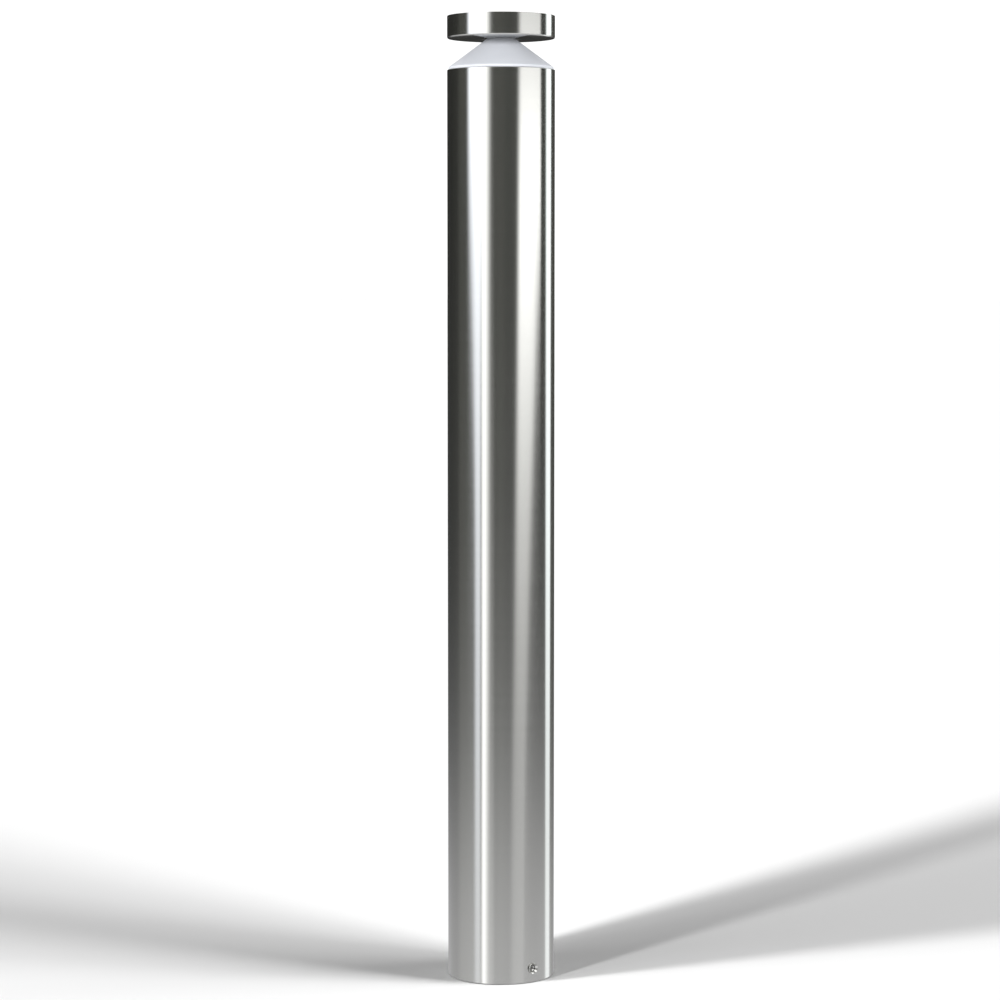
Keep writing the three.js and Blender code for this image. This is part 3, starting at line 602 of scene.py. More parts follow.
# ---- Pieces ----
def finish(piece, node, name=None, look=None):
    """Names a piece, gives it the finish of its CAD node's slot, and puts it in that node's place."""
    piece.name = name or node + "_finished"
    piece.data.materials.clear()
    piece.data.materials.append(materials[look or SLOTS[node]])
    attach(piece, BODY_OF[node])
    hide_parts(node)
    return piece


CLAMPS = ("1", "2")
NUT_HOLE_RADIUS = 3.75
CLAMP_DRIVE = 2.5  # across the flats of the clamp screws' sockets


def clamp_azimuth(number):
    """The angle of a clamp screw's axis from +X."""
    nut = measure("rivet_nut_" + number)
    return atan2(nut.y, nut.x)


def lying(azimuth, height):
    """Turns +Z outwards along the azimuth, at this height."""
    upright_to_x = Matrix.Rotation(pi / 2, 4, "Y")
    return Matrix.Translation((0, 0, height)) @ Matrix.Rotation(azimuth, 4, "Z") @ upright_to_x


def add_column_tube():
    height = measure("rivet_nut_1").z
    drills = []
    for number in CLAMPS:
        upright = prism(SMALL_ROUND, NUT_HOLE_RADIUS, BORE_RADIUS - 10, COLUMN_RADIUS + 10)
        drills.append(turn_to(upright, lying(clamp_azimuth(number), height)))
    profile = ring(BORE_RADIUS, COLUMN_RADIUS, tube.z0, tube.z1, 0.25)
    finish(turned(profile, cutters=drills), "column_tube")


def add_rivet_nut(number):
    nut = measure("rivet_nut_" + number)
    seat = COLUMN_RADIUS + 0.15
    face = seat + 1.15
    profile = [
        (2.75, 35.3, 0.2), (3.45, 35.3, 0.2), (3.45, 39.3), (4.7, 39.9, 0.3), (4.7, 41.9, 0.3), (3.45, 42.3),
        (3.45, seat), (4.5, seat, 0.1), (4.5, face, 0.2), (4.2, face, 0.05), (2.75, face - 1.6, 0.1),
    ]
    piece = lathe(profile, SMALL_ROUND)
    piece.matrix_world = lying(clamp_azimuth(number), nut.z * MM)
    finish(piece, "rivet_nut_" + number)


def add_clamp_screw(number):
    screw = measure("clamp_screw_" + number)
    tip, face, radius = 33.8, 43.8, 2.45
    profile = [(0, tip), (1.6, tip, 0.3)] + thread(radius, tip + 1, face - 1.2, 0.8, 0.35)
    # The face is dished down to the socket.
    profile += [(radius, face - 0.3, 0.1), (radius - 0.2, face, 0.05), (1.5, face - 0.6), (0, face - 0.6)]
    piece = turned(profile, SMALL_ROUND, [hexagon(CLAMP_DRIVE, face - 3, face + 1)])
    piece.matrix_world = lying(clamp_azimuth(number), screw.z * MM)
    finish(piece, "clamp_screw_" + number)


def add_cap():
    inner = cap.x1 - CAP_WALL
    chamfer = 0.9
    profile = [
        (0, cap.z1 - CAP_WALL), (inner, cap.z1 - CAP_WALL, 0.4), (inner, cap.z0, 0.1),
        (cap.x1 - chamfer / 2, cap.z0, 0.1), (cap.x1, cap.z0 + chamfer, 0.3), (cap.x1, cap.z1, 0.25), (0, cap.z1),
    ]
    finish(lathe(profile), "cap_shell")
    plate = measure("cap_underplate")
    # Its lower face swells a little between the neck and the rim.
    swell = ((13, 0.0, 8), (18, 0.57, 20), (30, 0.6, 80), (34, 0.54, 80), (38, 0.37, 60), (41, 0.17, 40))
    profile = [(10.8, plate.z0, 0.1)] + [(radius, plate.z0 - drop, fillet) for radius, drop, fillet in swell] + [
        (plate.x1, plate.z0, 0.1), (plate.x1, plate.z1, 0.1), (10.8, plate.z1, 0.1),
    ]
    finish(lathe(profile), "cap_underplate")


def add_diffuser():
    cone = measure("diffuser")
    foot = tube.z1 + 2.7
    top = cap.z0 - 0.3
    spread = 1.36

    def radius(height):
        return 42.9 - spread * (height - foot)

    profile = [
        (39.6, cone.z0, 0.3), (42, cone.z0, 0.3), (42, tube.z1 + 0.3), (43.4, tube.z1 + 0.3, 0.3),
        (43.4, tube.z1 + 2.2, 0.4), (42.9, foot, 0.1), (radius(top), top, 0.1), (10.4, top, 0.1),
        (10.4, cone.z1, 0.3), (8.4, cone.z1, 0.3), (8.4, foot + (42.9 - 8.4) / spread - 2.5, 0.5),
        (radius(foot - 1.2 + 2.5), foot - 1.2, 0.5), (39.6, foot - 2.0),
    ]
    finish(lathe(profile), "diffuser")


ANCHOR_ANGLES = tuple(radians(angle) for angle in (90, 210, 330))
ANCHOR = dict(circle=22, half_width=3.3, reach=2.2)
ACROSS_ANGLES = (0, pi)


def anchor_cutters(clearance, low, high):
    """Slot-shaped cutters, long side across the radius, one at each anchor."""
    radius = ANCHOR["half_width"] + clearance
    outline, steps = [], 16
    for side, start in ((1, 0), (-1, pi)):
        for i in range(steps + 1):
            x, y = polar(radius, start + pi * i / steps)
            outline.append((ANCHOR["circle"] + x, y + side * ANCHOR["reach"]))
    return [turn_to(extruded(outline, low, high), Matrix.Rotation(angle, 4, "Z")) for angle in ANCHOR_ANGLES]


def add_base():
    gasket = measure("base_gasket")
    low, high, groove = gasket.z0, gasket.z1, 0.5
    profile = [(14, low, 0.2)]
    for radius in (17.5, 28.5, 35.0):
        profile += [
            (radius, low, 0.15), (radius + 0.4, low + groove, 0.15),
            (radius + 1.2, low + groove, 0.15), (radius + 1.6, low, 0.15),
        ]
    profile += [(gasket.x1, low, 0.3), (gasket.x1, high, 0.3), (14, high, 0.2)]
    finish(turned(profile, cutters=anchor_cutters(1, low - 1, high + 1)), "base_gasket")

    flange = measure("base_flange")
    floor, top, outer, wall, collar = flange.z0 + 5, flange.z1, flange.x1, 3.0, 15.5
    profile = [
        (11, flange.z0, 0.3), (outer, flange.z0, 0.4), (outer, top, 0.5), (outer - wall, top, 0.5),
        (outer - wall, floor, 1.2), (collar, floor, 0.8), (collar, floor + 1.2, 0.3), (11, floor + 1.2, 0.3),
    ]
    cast = lathe(profile)
    ribs, lugs, pockets = [], [], []
    for angle in ANCHOR_ANGLES:
        turn = Matrix.Rotation(angle + pi / 3, 4, "Z")
        ribs.append(turn_to(block((14.5, -1.5, floor - 1), (40.5, 1.5, floor + 6), 0.5), turn))
    for number in CLAMPS:
        turn = Matrix.Rotation(clamp_azimuth(number) + pi / 2, 4, "Z")
        lugs.append(turn_to(block((-9.5, -40.5, flange.z0 + 1), (9.5, -30.4, top), 0.7), turn))
        pockets.append(turn_to(block((-6.5, -60, floor), (6.5, -33.4, top + 30), 0.5), turn))
    join(cast, *ribs, *lugs)
    cut(cast, *pockets, *anchor_cutters(0, flange.z0 - 1, floor + 1))
    finish(soften(cast), "base_flange")

    grommet = measure("cable_grommet")
    seat = grommet.z1 - 1.6
    profile = [
        (8, grommet.z0, 0.4), (13, grommet.z0, 0.3), (13, 2, 0.2), (10.7, 2, 0.2), (10.7, seat, 0.2),
        (13, seat, 0.3), (12.2, grommet.z1, 0.5), (8, grommet.z1, 0.5),
    ]
    finish(lathe(profile, SMALL_ROUND), "cable_grommet")


# Screws are made with the middle of the head's face at the origin and the shank down -Z.
UP = Matrix()
DOWN = Matrix.Rotation(pi, 4, "X")
FRONT = Matrix.Rotation(pi / 2, 4, "X")
M3 = dict(head=2.7, height=2.0, shank=1.2, pitch=0.5, drive=2.0)
M3_TAPPED, M3_CLEAR, M4_CLEAR = 1.5, 1.6, 2.1  # radii of holes


def socket_screw(length, head, height, shank, pitch, drive):
    foot = -height - length
    profile = [(0, foot), (shank - 0.3, foot)] + thread(shank, foot + 0.4, -height, pitch, 0.2)
    profile += [(head, -height, 0.1), (head, -0.8, 0.2), (head * 0.75, 0, 0.2), (0, 0)]
    return turned(profile, SMALL_ROUND, [hexagon(drive, -height * 0.65, 1)])


def countersunk_screw(length, head, shank, pitch, drive):
    seat = shank - head
    profile = [(0, -length), (shank - 0.4, -length)] + thread(shank, 0.5 - length, seat - 0.3, pitch, 0.3)
    profile += [(shank, seat), (head, -0.25, 0.05), (head, 0, 0.1), (0, 0)]
    return turned(profile, SMALL_ROUND, [hexagon(drive, seat * 0.8, 1)])


def slotted_screw(length, radius):
    profile = [(0, -length), (radius - 0.3, -length, 0.1), (radius, 0.5 - length)]
    profile += [(radius, -0.3, 0.1), (radius - 0.3, 0, 0.1), (0, 0)]
    return turned(profile, SMALL_ROUND, [block((-3, -0.4, -1.0), (3, 0.4, 1))])


def head_place(box, facing):
    """The middle of the side of a screw's box that its head is on."""
    if facing is FRONT:
        return Vector((box.x, box.y0, box.z))
    return Vector((box.x, box.y, box.z1 if facing is UP else box.z0))


def add_screws(shape, nodes, facing):
    """One screw shape at each of these nodes, its head on the side that it faces."""
    mesh = shape.data
    bpy.data.objects.remove(shape)
    for node in nodes:
        piece = new_object(node, mesh)
        piece.matrix_world = Matrix.Translation(head_place(measure(node), facing) * MM) @ facing
        finish(piece, node)


def numbered(stem, count):
    return [f"{stem}_{i + 1}" for i in range(count)]


def add_all_screws():
    countersunk = countersunk_screw(length=10, head=3.7, shank=1.8, pitch=0.7, drive=2.5)
    add_screws(countersunk, numbered("carrier_screw", 3), UP)
    add_screws(socket_screw(6, **M3), numbered("bracket_screw", 2), DOWN)
    add_screws(socket_screw(5, **M3), numbered("driver_screw", 2), FRONT)
    add_screws(socket_screw(5, **{**M3, "head": 3.2}), ["earth_screw"], FRONT)
    add_screws(socket_screw(7, **M3), numbered("board_screw", 2), UP)
    add_screws(socket_screw(12, **M3), numbered("lid_screw", 4), FRONT)
    add_screws(slotted_screw(4.5, 2.2), numbered("terminal_screw", 6), FRONT)


# Radii of the circles that the screws and the light sources are on.
CARRIER_SCREW_CIRCLE = 37.6
BOARD_SCREW_CIRCLE = 19.5
LED_CIRCLE = 27.0
LED_COUNT = 12


def add_support_ring():
    box = measure("support_ring")
    profile = ring(34, box.x1, box.z0, box.z1, 0.3)
    holes = [(angle, M4_CLEAR) for angle in ANCHOR_ANGLES] + [(angle, M3_TAPPED) for angle in ACROSS_ANGLES]
    drills = [drill(*polar(CARRIER_SCREW_CIRCLE, a), radius, box.z0 - 1, box.z1 + 1) for a, radius in holes]
    finish(turned(profile, cutters=drills), "support_ring")


FIN_ROWS = (-26, -20, 20, 26)
FIN_REACH = 33.0


def add_head_carrier():
    box = measure("head_carrier")
    rim, top = box.z1, box.z1 - 8
    low = top - 6
    radius, groove, seal = 42.4, 41.1, top + 3.6
    profile = [
        (0, low), (radius, low, 0.4), (radius, seal - 1.3, 0.1), (groove, seal - 1.3, 0.2),
        (groove, seal + 1.3, 0.2), (radius, seal + 1.3, 0.1), (radius, rim, 0.4), (39.4, rim, 0.4),
        (39.4, top + 3, 0.5), (35.5, top, 0.5), (0, top),
    ]
    cast = lathe(profile)
    fins = []
    for y in FIN_ROWS:
        half = sqrt(FIN_REACH**2 - y**2) - 1
        fins.append(block((-half, y - 1, low - 17), (half, y + 1, low + 1), 0.45))
    join(cast, *fins)
    sink = [(0, low - 1), (M4_CLEAR, low - 1), (M4_CLEAR, top - 2.1), (4, top - 0.2), (4, top + 4), (0, top + 4)]
    holes = [
        turn_to(lathe(sink, 32), Matrix.Translation((*polar(CARRIER_SCREW_CIRCLE, a), 0)))
        for a in ANCHOR_ANGLES
    ]
    holes += [drill(*polar(BOARD_SCREW_CIRCLE, a), M3_TAPPED, low + 1, top + 1) for a in ACROSS_ANGLES]
    holes += [drill(0, 0, 4.3, low - 1, top + 1), drill(0, -10.6, 2.4, low - 1, top + 1)]
    finish(soften(cut(cast, *holes)), "head_carrier")


def lipped(node, inner, outer, groove, half, fillet):
    """The profile of a seal with a groove of this half width round its top."""
    low, high = measure(node).z0, measure(node).z1
    return [
        (inner, low, 0.3), (outer, low, fillet), (outer, high, fillet), (groove + half, high, 0.2),
        (groove, high - 0.4, 0.2), (groove - half, high, 0.2), (inner, high, 0.3),
    ]


def add_seals():
    seal = measure("carrier_seal")
    finish(lathe(ring(41.4, seal.x1, seal.z0, seal.z1, 0.5)), "carrier_seal")
    finish(lathe(lipped("diffuser_seal", 39.6, 42, 40.8, 0.5, 0.3)), "diffuser_seal")
    finish(lathe(lipped("neck_seal", 5.5, 10, 7.8, 0.4, 0.4), SMALL_ROUND), "neck_seal")


def board_drills(radius, low, high):
    """Round cutters at the two board screws."""
    return [drill(*polar(BOARD_SCREW_CIRCLE, a), radius, low - 1, high + 1) for a in ACROSS_ANGLES]


def add_light_source():
    pad = measure("thermal_pad")
    profile = ring(14, 33, pad.z0, pad.z1, 0.1)
    finish(turned(profile, cutters=board_drills(M3_CLEAR, pad.z0, pad.z1)), "thermal_pad")

    board = measure("led_board")
    top = board.z0 + 1.6
    profile = [(13.6, board.z0, 0.1), (33.5, board.z0, 0.1), (33.5, top, 0.15), (13.6, top, 0.15)]
    finish(turned(profile, cutters=board_drills(M3_CLEAR, board.z0, top)), "led_board", "led_board_plate")
    packages, lenses = [], []
    dome = [(0, top + 0.1), (1.15, top + 0.1), (1.15, top + 0.55, 0.1), (0.8, top + 0.75, 0.2), (0, top + 0.8)]
    half = 1.5
    for i in range(LED_COUNT):
        turn = Matrix.Rotation((i + 0.5) * 2 * pi / LED_COUNT, 4, "Z")
        package = block((LED_CIRCLE - half, -half, top - 0.2), (LED_CIRCLE + half, half, top + 0.6), 0.15)
        packages.append(turn_to(package, turn))
        lenses.append(turn_to(lathe(dome, 32), turn @ Matrix.Translation((LED_CIRCLE, 0, 0))))
    socket = block((-3.5, -21, top - 0.2), (3.5, -15.5, board.z1), 0.3)
    cut(socket, *(block((x - 0.7, -19.5, board.z1 - 1), (x + 0.7, -17, board.z1 + 1), 0.1) for x in (-1.5, 1.5)))
    finish(soften(gather(*packages, socket)), "led_board", "led_board_packages")
    finish(soften(gather(*lenses), sharp=60), "led_board", "led_board_lenses", "phosphor")
    tracks = [lathe(ring(radius, radius + 0.5, top - 0.05, top + 0.05)) for radius in (23.6, 30.2)]
    finish(soften(gather(*tracks)), "led_board", "led_board_tracks", "copper_track")


def add_stud():
    box = measure("centre_stud")
    shoulder, pillar = box.z0 + 18.3, box.z1 - 10.1
    profile = [(0, box.z0), (3.6, box.z0)] + thread(4, box.z0 + 0.5, box.z0 + 11.5, 1.25, 0.5)
    profile += [
        (4, shoulder), (7, shoulder, 0.3), (7, shoulder + 4, 0.5), (5, shoulder + 4, 0.2),
        (5, pillar, 0.4), (4, pillar),
    ]
    profile += thread(4, pillar + 0.6, box.z1 - 0.6, 1.25, 0.5) + [(3.4, box.z1), (0, box.z1)]
    finish(lathe(profile, SMALL_ROUND), "centre_stud")

    nut = measure("stud_nut")
    profile = [(4.3, nut.z1 - 1.4), (8, nut.z1 - 1.4, 0.3), (8, nut.z1, 0.2), (4.3, nut.z1)]
    corner = [(6.4, nut.z0 - 0.5), (9, nut.z0 - 0.5), (9, nut.z0 + 1.0)]
    piece = cut(hexagon(13, nut.z0, nut.z1 - 0.7), drill(0, 0, 4.3, nut.z0 - 1, nut.z1 + 1), lathe(corner, 96))
    join(piece, lathe(profile, 96))
    finish(soften(piece), "stud_nut")

    hub = measure("cap_hub")
    bore_top = box.z1 + 0.3
    profile = [
        (4.3, hub.z0, 0.2), (8, hub.z0, 0.4), (8, hub.z1 - 2, 1.0), (16, hub.z1 - 2, 0.4),
        (16, hub.z1, 0.2), (0, hub.z1), (0, bore_top), (4.3, bore_top),
    ]
    finish(lathe(profile, 96), "cap_hub")


def add_driver():
    finish(refined("driver_bracket", 0.2), "driver_bracket")
    case = measure("driver_case")
    low, high, tab = case.z0 + 6.5, case.z1 - 6.5, 3.25
    piece = block((case.x0, case.y0, low), (case.x1, case.y1, high), 1.2)
    join(piece, block((case.x0, case.y1 - 2, case.z0), (case.x1, case.y1, case.z1), 0.4))
    grooves = [
        block((x - 0.6, 5.6, low - 1), (x + 0.6, 6.2, high + 1)) for x in (case.x0, case.x1)
    ]
    panel = block((-9.5, case.y0 - 1, low + 7), (9.5, case.y0 + 0.5, high - 7), 0.4)
    vents = [block((-8, case.y0 - 1, z), (8, case.y0 + 1.4, z + 1.2), 0.3) for z in (low + 2.5, high - 3.7)]
    holes = [front_drill(0, z, M3_TAPPED, 8, 16) for z in (case.z0 + tab, case.z1 - tab)]
    finish(soften(cut(piece, *grooves, panel, *vents, *holes)), "driver_case")


LID_SCREW_X = 23.4
LID_SCREW_INSET = 4.8
GLAND_THREADS = {"supply": 10.0, "outlet": 7.6}  # radii
GLAND_DEPTH = 9.0  # the glands' axis behind the column's


def add_junction_box():
    box = measure("junction_box")
    wall = 2.5
    heights = (box.z0 + LID_SCREW_INSET, box.z1 - LID_SCREW_INSET)
    points = [(x, z) for z in heights for x in (-LID_SCREW_X, LID_SCREW_X)]
    piece = filled(box, 0.8)
    cavity = block((box.x0 + wall, box.y0 - 3, box.z0 + wall), (box.x1 - wall, box.y1 - wall, box.z1 - wall), 0.8)
    cut(piece, cavity)
    join(piece, *(block((x - 3, box.y0, z - 3), (x + 3, box.y1 - 1.25, z + 3), 0.3) for x, z in points))
    holes = [front_drill(x, z, M3_TAPPED, box.y0 - 1, box.y0 + 10) for x, z in points]
    supply, outlet = GLAND_THREADS["supply"] + 0.3, GLAND_THREADS["outlet"] + 0.3
    holes += [drill(0, GLAND_DEPTH, supply, box.z0 - 1, box.z0 + 3.5)]
    holes += [drill(0, GLAND_DEPTH, outlet, box.z1 - 3.5, box.z1 + 1)]
    finish(soften(cut(piece, *holes)), "junction_box")

    lid = measure("box_lid")
    piece = filled(lid, 0.9)
    panel = block((-18, lid.y0 - 1, lid.z0 + 10), (18, lid.y0 + 0.6, lid.z1 - 10), 0.4)
    cut(piece, panel, *(front_drill(x, z, M3_CLEAR, lid.y0 - 1, lid.y1 + 1) for x, z in points))
    finish(soften(piece), "box_lid")
    finish(refined("lid_gasket", 0.2), "lid_gasket")

    terminal = measure("terminal_block")
    rows = (terminal.z0 + 5, terminal.z1 - 5)
    piece = filled(terminal, 0.5)
    cutters = []
    for x in (-10, 0, 10):
        cutters += [front_drill(x, z, 2.6, terminal.y0 - 1, terminal.y0 + 6) for z in rows]
        cutters += [drill(x, terminal.y0 + 9.5, 1.9, z - 2, z + 2) for z in (terminal.z0 + 1, terminal.z1 - 1)]
    low, high = terminal.z0 - 1, terminal.z1 + 1
    cutters += [block((x - 0.6, terminal.y0 - 1, low), (x + 0.6, terminal.y0 + 2, high)) for x in (-5, 5)]
    finish(soften(cut(piece, *cutters)), "terminal_block")

    clip = measure("box_clip")
    hoop = lathe(ring(41.2, 42.4, clip.z0, clip.z1, 0.2))
    piece = cut(hoop, block((-22, -50, clip.z0 - 1), (22, 0, clip.z1 + 1)))
    join(piece, block((-32.3, 25.9, clip.z0), (32.3, 27.1, clip.z1), 0.2))
    finish(soften(piece), "box_clip")


def add_gland(prefix, cable, facing):
    """A cable gland along +Z from the wall at z = 0, turned to face up or down."""
    nodes = {part: f"{prefix}_gland_{part}" for part in ("body", "nut", "seal")}
    seat = measure(nodes["body"])
    wall = seat.z0 + 8 if facing is UP else seat.z1 - 8
    place = Matrix.Translation((seat.x * MM, seat.y * MM, wall * MM)) @ facing
    screwed = GLAND_THREADS[prefix]
    collar, bore = screwed + 3, cable + 0.9
    profile = [(bore, -8, 0.3)] + thread(screwed, -7.8, 0.3, 1.5, 0.6) + thread(screwed, 6.1, 12, 1.5, 0.6)
    nut_ring = cut(prism(6, collar, 0.3, 6), drill(0, 0, bore + 0.4, 0, 7))
    body = join(lathe(profile + [(bore, 12, 0.3)], 96), nut_ring)
    inner, seal = screwed + 0.3, screwed - 1
    profile = [
        (inner, 6.4, 0.2), (collar - 0.6, 6.4, 0.4), (collar - 0.6, 14, 0.8), (collar - 2.4, 19, 1.0),
        (cable + 1, 20.4, 0.2), (cable + 0.7, 20.4), (cable + 0.7, 18.2), (seal, 17), (seal, 12.4), (inner, 12.4),
    ]
    flutes = [drill(*polar(collar + 0.9, 2 * pi * i / 12), 1.9, 7.6, 13.4) for i in range(12)]
    nut = cut(lathe(profile, 96), gather(*flutes))
    packing = lathe(ring(cable + 0.35, seal - 0.3, 12.6, 16.6, 0.3), 96)
    for part, piece in (("body", soften(body)), ("nut", soften(nut)), ("seal", packing)):
        piece.matrix_world = place
        finish(piece, nodes[part])


def add_pieces():
    add_column_tube()
    for number in CLAMPS:
        add_rivet_nut(number)
        add_clamp_screw(number)
    add_cap()
    add_diffuser()
    add_base()
    add_all_screws()
    add_support_ring()
    add_head_carrier()
    add_seals()
    add_light_source()
    add_stud()
    add_driver()
    add_junction_box()
    add_gland("supply", 6.5, DOWN)
    add_gland("outlet", 3.5, UP)
    for node in ("internal_cable", "led_lead", "earth_lead"):
        finish(smoothed(node), node)


# ---- Studio ----
DRUM_RADIUS = 12.0
DRUM_EYE = 0.4  # metres above the ground, where slope 0 lies on the drum


def ramp(value, knots):
    """A value read from [(place, value)] knots, straight between them."""
    if value <= knots[0][0]:
        return knots[0][1]
    for (low, first), (high, second) in zip(knots, knots[1:]):
        if value <= high:
            return first + (second - first) * (value - low) / (high - low)
    return knots[-1][1]


def ease(value):
    value = min(1.0, max(0.0, value))
    return value * value * (3 - 2 * value)


# Places on the drum are an azimuth, in degrees from the front towards +X, and a slope, as rise over distance.
# The dark flags' own level by azimuth.
FLAG_LEVELS = (
    (-180, 0.02), (-155, 0.025), (-128, 0.03), (-108, 0.04), (-98, 0.085), (-88, 0.085), (-60, 0.09), (-12, 0.075),
    (0, 0.09), (14, 0.065), (30, 0.065), (70, 0.045), (95, 0.045), (105, 0.07), (147, 0.08), (162, 0.05), (180, 0.02),
)
# What the pale floor throws back on to the flags, by slope, and how much of it each azimuth shows.
FLOOR_GLOW = (
    (-0.6, 0.82), (-0.26, 0.68), (-0.244, 0.56), (-0.226, 0.41), (-0.19, 0.2), (-0.155, 0.1), (-0.119, 0.06),
    (-0.083, 0.04), (-0.047, 0.03), (0.0, 0.022), (0.067, 0.012),
)
GLOW_SHARES = ((-180, 0.6), (-150, 0.82), (-115, 0.8), (-90, 0.93), (-60, 1.0), (130, 1.0), (145, 0.6), (180, 0.6))
FLAG_TINT = (1.0, 1.02, 0.9)
GLOW_TINT = (1.0, 1.0, 1.03)

# The lights: left and right edge by slope, softness of each edge in degrees, level by slope. White unless tinted.
WHITE = (1, 1, 1)
STRIPS = (
    dict(
        left=(
            (-0.155, -58.5), (-0.119, -56.5), (-0.083, -57), (-0.047, -59), (-0.012, -61.5), (0.037, -69),
            (0.067, -74.5),
        ),
        right=((-0.19, -46.5), (-0.155, -45.5), (-0.012, -45), (0.0245, -42)),
        soft=(11, 4), tint=(0.95, 0.98, 1.06),
        level=(
            (-0.6, 0.0), (-0.3, 0.3), (-0.25, 0.42), (-0.244, 0.5), (-0.226, 0.72), (-0.19, 0.85), (-0.155, 0.97),
            (-0.119, 1.08), (-0.083, 1.22), (-0.047, 1.32), (-0.012, 1.45), (0.037, 1.9), (0.067, 2.4),
        ),
    ),
    dict(
        left=((0, -41.7),), right=((-0.226, -31.8), (-0.19, -30), (-0.155, -29.2), (-0.012, -28.5), (0.067, -26.8)),
        soft=(6, 17),
        level=((-0.6, 0.2), (-0.3, 1.35), (-0.226, 1.6), (-0.155, 1.9), (0.067, 2.1)),
    ),
    dict(
        left=((0, -27),), right=((0, -16),), soft=(4, 8),
        level=((-0.3, 0.15), (-0.083, 0.18), (-0.012, 0.12), (0.067, 0.05)),
    ),
    dict(
        left=(
            (-0.226, 22), (-0.19, 24), (-0.155, 26.5), (-0.119, 29.5), (-0.083, 31), (-0.047, 33.2), (-0.012, 35.8),
            (0.037, 38), (0.067, 38.5), (0.08, 40),
        ),
        right=(
            (-0.226, 50.5), (-0.19, 53), (-0.155, 57.5), (-0.119, 61.5), (-0.083, 67), (-0.047, 73), (-0.012, 79),
            (0.0, 82), (0.03, 93), (0.067, 96), (0.08, 93),
        ),
        soft=(12, 4.5),
        level=(
            (-0.25, 0.1), (-0.226, 0.22), (-0.19, 0.33), (-0.155, 0.45), (-0.119, 0.62), (-0.083, 0.85),
            (-0.047, 1.12), (-0.012, 1.65), (0.037, 2.7), (0.077, 3.2), (0.083, 1.35), (0.11, 1.2), (0.2, 0.1),
        ),
    ),
    dict(
        left=((0, 112.8),), right=((-0.25, 131), (-0.155, 133), (0.067, 135)), soft=(6, 5), tint=(0.95, 1.0, 1.02),
        level=((-0.6, 0.2), (-0.3, 0.72), (-0.226, 0.9), (-0.155, 1.35), (-0.083, 1.6), (0.067, 1.9)),
    ),
    # The light overhead, and more of it towards the front.
    dict(left=((0, -200),), right=((0, 200),), soft=(1, 1), level=((0.3, 0.0), (0.6, 1.1))),
    dict(left=((0, -70),), right=((0, 70),), soft=(30, 30), level=((0.4, 0.0), (0.7, 0.8))),
)


def drum_light(azimuth, slope):
    """The drum's colour at a place, as linear red, green and blue."""
    flag = ramp(azimuth, FLAG_LEVELS)
    glow = ramp(slope, FLOOR_GLOW) * ramp(azimuth, GLOW_SHARES)
    colour = [flag * dark + glow * pale for dark, pale in zip(FLAG_TINT, GLOW_TINT)]
    for strip in STRIPS:
        start, end = ramp(slope, strip["left"]), ramp(slope, strip["right"])
        soft_left, soft_right = strip["soft"]
        share = ease((azimuth - start) / soft_left + 0.5) * ease((end - azimuth) / soft_right + 0.5)
        level = ramp(slope, strip["level"])
        colour = [part + share * level * tint for part, tint in zip(colour, strip.get("tint", WHITE))]
    return colour


def hide_from(piece, *rays):
    for ray in rays:
        setattr(piece, "visible_" + ray, False)


def make_drum():
    """A far drum of strip lights, dark flags and floor glow that only reflections see."""
    steps = 360
    # Close rows where the lights' edges lean, wide ones above and below.
    slopes = [-1.6, -1.2, -0.9, -0.7, -0.6, -0.5, -0.4, -0.35]
    slopes += [-0.3 + 0.01 * i for i in range(46)] + [0.2, 0.3, 0.5, 0.8, 1.2, 1.6]
    vertices, colours = [], []
    for slope in slopes:
        for i in range(steps):
            azimuth = -180 + 360 * i / steps
            turn = radians(azimuth)
            side, front = DRUM_RADIUS * sin(turn), -DRUM_RADIUS * cos(turn)
            vertices.append((side, front, DRUM_EYE + DRUM_RADIUS * slope))
            colours += drum_light(azimuth, slope) + [1.0]
    drum = from_lists("light_drum", vertices, walls(steps, len(slopes)))
    glow = drum.data.attributes.new("glow", "FLOAT_COLOR", "POINT")
    glow.data.foreach_set("color", colours)
    s = Shader("light_drum")
    s.nodes.remove(s.surface)
    light, source = s.node("Emission"), s.node("Attribute", attribute_name="glow")
    s.links.new(source.outputs["Color"], light.inputs["Color"])
    s.links.new(light.outputs[0], s.nodes["Material Output"].inputs["Surface"])
    s.material.cycles.emission_sampling = "NONE"
    drum.data.materials.append(s.material)
    hide_from(drum, "camera", "diffuse", "transmission", "volume_scatter", "shadow")
    drum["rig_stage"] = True


FLOOR_REACH = 60.0
FLOOR_TONE = 0.86


def make_floor(name, x0, x1):
    corners = [(x0, -FLOOR_REACH, 0), (x1, -FLOOR_REACH, 0), (x1, FLOOR_REACH, 0), (x0, FLOOR_REACH, 0)]
    floor = from_lists(name, corners, [(0, 1, 2, 3)])
    s = Shader(name)
    s.set(s.surface, Base_Color=(FLOOR_TONE, FLOOR_TONE, FLOOR_TONE, 1), Roughness=0.9)
    s.surface.inputs["Specular IOR Level"].default_value = 0.0
    floor.data.materials.append(s.material)
    hide_from(floor, "glossy")
    floor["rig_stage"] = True
    return floor


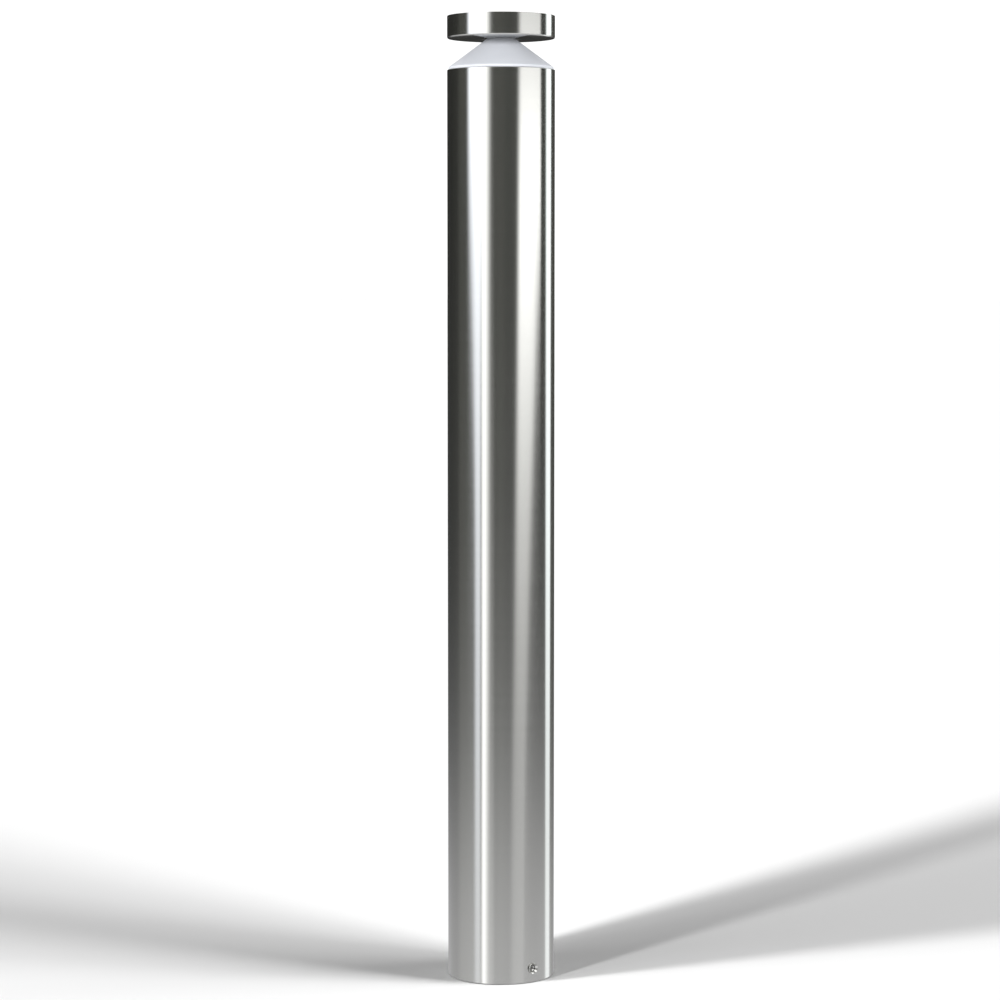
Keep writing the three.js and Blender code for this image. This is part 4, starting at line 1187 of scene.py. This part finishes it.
def make_world(seen, mirrored, ambient):
    """White behind the object, and a dimmer sky for reflections and for soft light."""
    world = bpy.data.worlds.new("studio")
    world.use_nodes = True
    nodes = world.node_tree.nodes
    links = world.node_tree.links
    path = nodes.new("ShaderNodeLightPath")
    background = nodes["Background"]
    mix_glossy = nodes.new("ShaderNodeMix")
    mix_camera = nodes.new("ShaderNodeMix")
    mix_glossy.inputs[2].default_value = ambient
    mix_glossy.inputs[3].default_value = mirrored
    mix_camera.inputs[3].default_value = seen
    links.new(path.outputs["Is Glossy Ray"], mix_glossy.inputs[0])
    links.new(mix_glossy.outputs[0], mix_camera.inputs[2])
    links.new(path.outputs["Is Camera Ray"], mix_camera.inputs[0])
    links.new(mix_camera.outputs[0], background.inputs["Strength"])
    background.inputs["Color"].default_value = (1, 1, 1, 1)
    bpy.context.scene.world = world


def group(name, objects):
    made = bpy.data.collections.new(name)
    for item in objects:
        made.objects.link(item)
    return made


def sun(name, azimuth, elevation, width, strength, receivers, blockers=None):
    """Far light from this azimuth, degrees from the front towards +X, and this many degrees wide."""
    data = bpy.data.lights.new(name, "SUN")
    data.energy = strength
    data.angle = radians(width)
    lamp = bpy.data.objects.new(name, data)
    lamp.rotation_euler = (radians(90 - elevation), 0, radians(azimuth))
    lamp.visible_glossy = False
    bpy.context.scene.collection.objects.link(lamp)
    lamp.light_linking.receiver_collection = receivers
    if blockers:
        lamp.light_linking.blocker_collection = blockers
    return lamp


GOBO_FOOT = (0.052, 0.02)  # radius and height, in metres
GOBO_TOP = 0.82


def make_gobo(side, flare):
    """A flared sleeve round the column that only the floor's soft suns see. It keeps far shadows deep."""
    steps = 96
    vertices = []
    for radius, z in (GOBO_FOOT, (flare, GOBO_TOP)):
        for i in range(steps):
            vertices.append((*polar(radius, 2 * pi * i / steps), z))
    gobo = from_lists("gobo_" + side, vertices, walls(steps))
    hide_from(gobo, "camera", "diffuse", "glossy", "transmission", "volume_scatter")
    gobo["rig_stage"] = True
    return gobo


SUN_HEIGHT = 29  # degrees
FLOOR_SUNS = (
    # name, azimuth, width, share of the light on its side of the floor, floor half, sees the gobo
    ("left_side", -58, 30, 0.14, "right", False),
    ("left_far", -58, 12, 0.14, "right", True),
    ("left_near", -52.5, 7, 0.46, "right", True),
    ("left_edge", -39, 5, 0.28, "right", False),
    ("right_near", 56, 10, 0.26, "left", True),
    ("right_middle", 65, 10, 0.2, "left", True),
    ("right_far", 73, 9, 0.17, "left", True),
    ("right_side", 85, 40, 0.37, "left", False),
)
GOBO_FLARES = {"left": 0.28, "right": 0.38}  # metres at the top, for the floor's left and right halves
FLOOR_LIGHT = 0.66  # of full white, from the suns
AMBIENT = 0.41
KEY_SUNS = (("key_left", -50, 2.25), ("key_right", 60, 1.55))  # name, azimuth, strength: they light the pieces
KEY_HEIGHT = 8  # degrees
KEY_WIDTH = 12


def make_studio():
    make_world(seen=1.15, mirrored=0.5, ambient=AMBIENT)
    make_drum()
    halves = {"left": make_floor("floor_left", -FLOOR_REACH, 0), "right": make_floor("floor_right", 0, FLOOR_REACH)}
    gobos = {side: make_gobo(side, flare) for side, flare in GOBO_FLARES.items()}
    shown = [o for o in bpy.data.objects if o.type == "MESH" and not o.hide_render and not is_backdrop(o)]
    lit = {side: group("lit_" + side, [floor]) for side, floor in halves.items()}
    solid = group("solid", shown)
    flared = {side: group("flared_" + side, shown + [gobo]) for side, gobo in gobos.items()}
    for name, azimuth, width, share, side, sees_gobo in FLOOR_SUNS:
        strength = FLOOR_LIGHT * share * pi / FLOOR_TONE / sin(radians(SUN_HEIGHT))
        sun(name, azimuth, SUN_HEIGHT, width, strength, lit[side], flared[side] if sees_gobo else solid)
    pieces = group("pieces", shown)
    for name, azimuth, strength in KEY_SUNS:
        sun(name, azimuth, KEY_HEIGHT, KEY_WIDTH, strength, pieces, solid)
    bpy.context.scene.view_settings.view_transform = "Standard"


make_camera()
for node, piece in frame["nodes"].items():
    piece.data.materials.clear()
    piece.data.materials.append(materials[SLOTS[node]])
add_pieces()
make_studio()
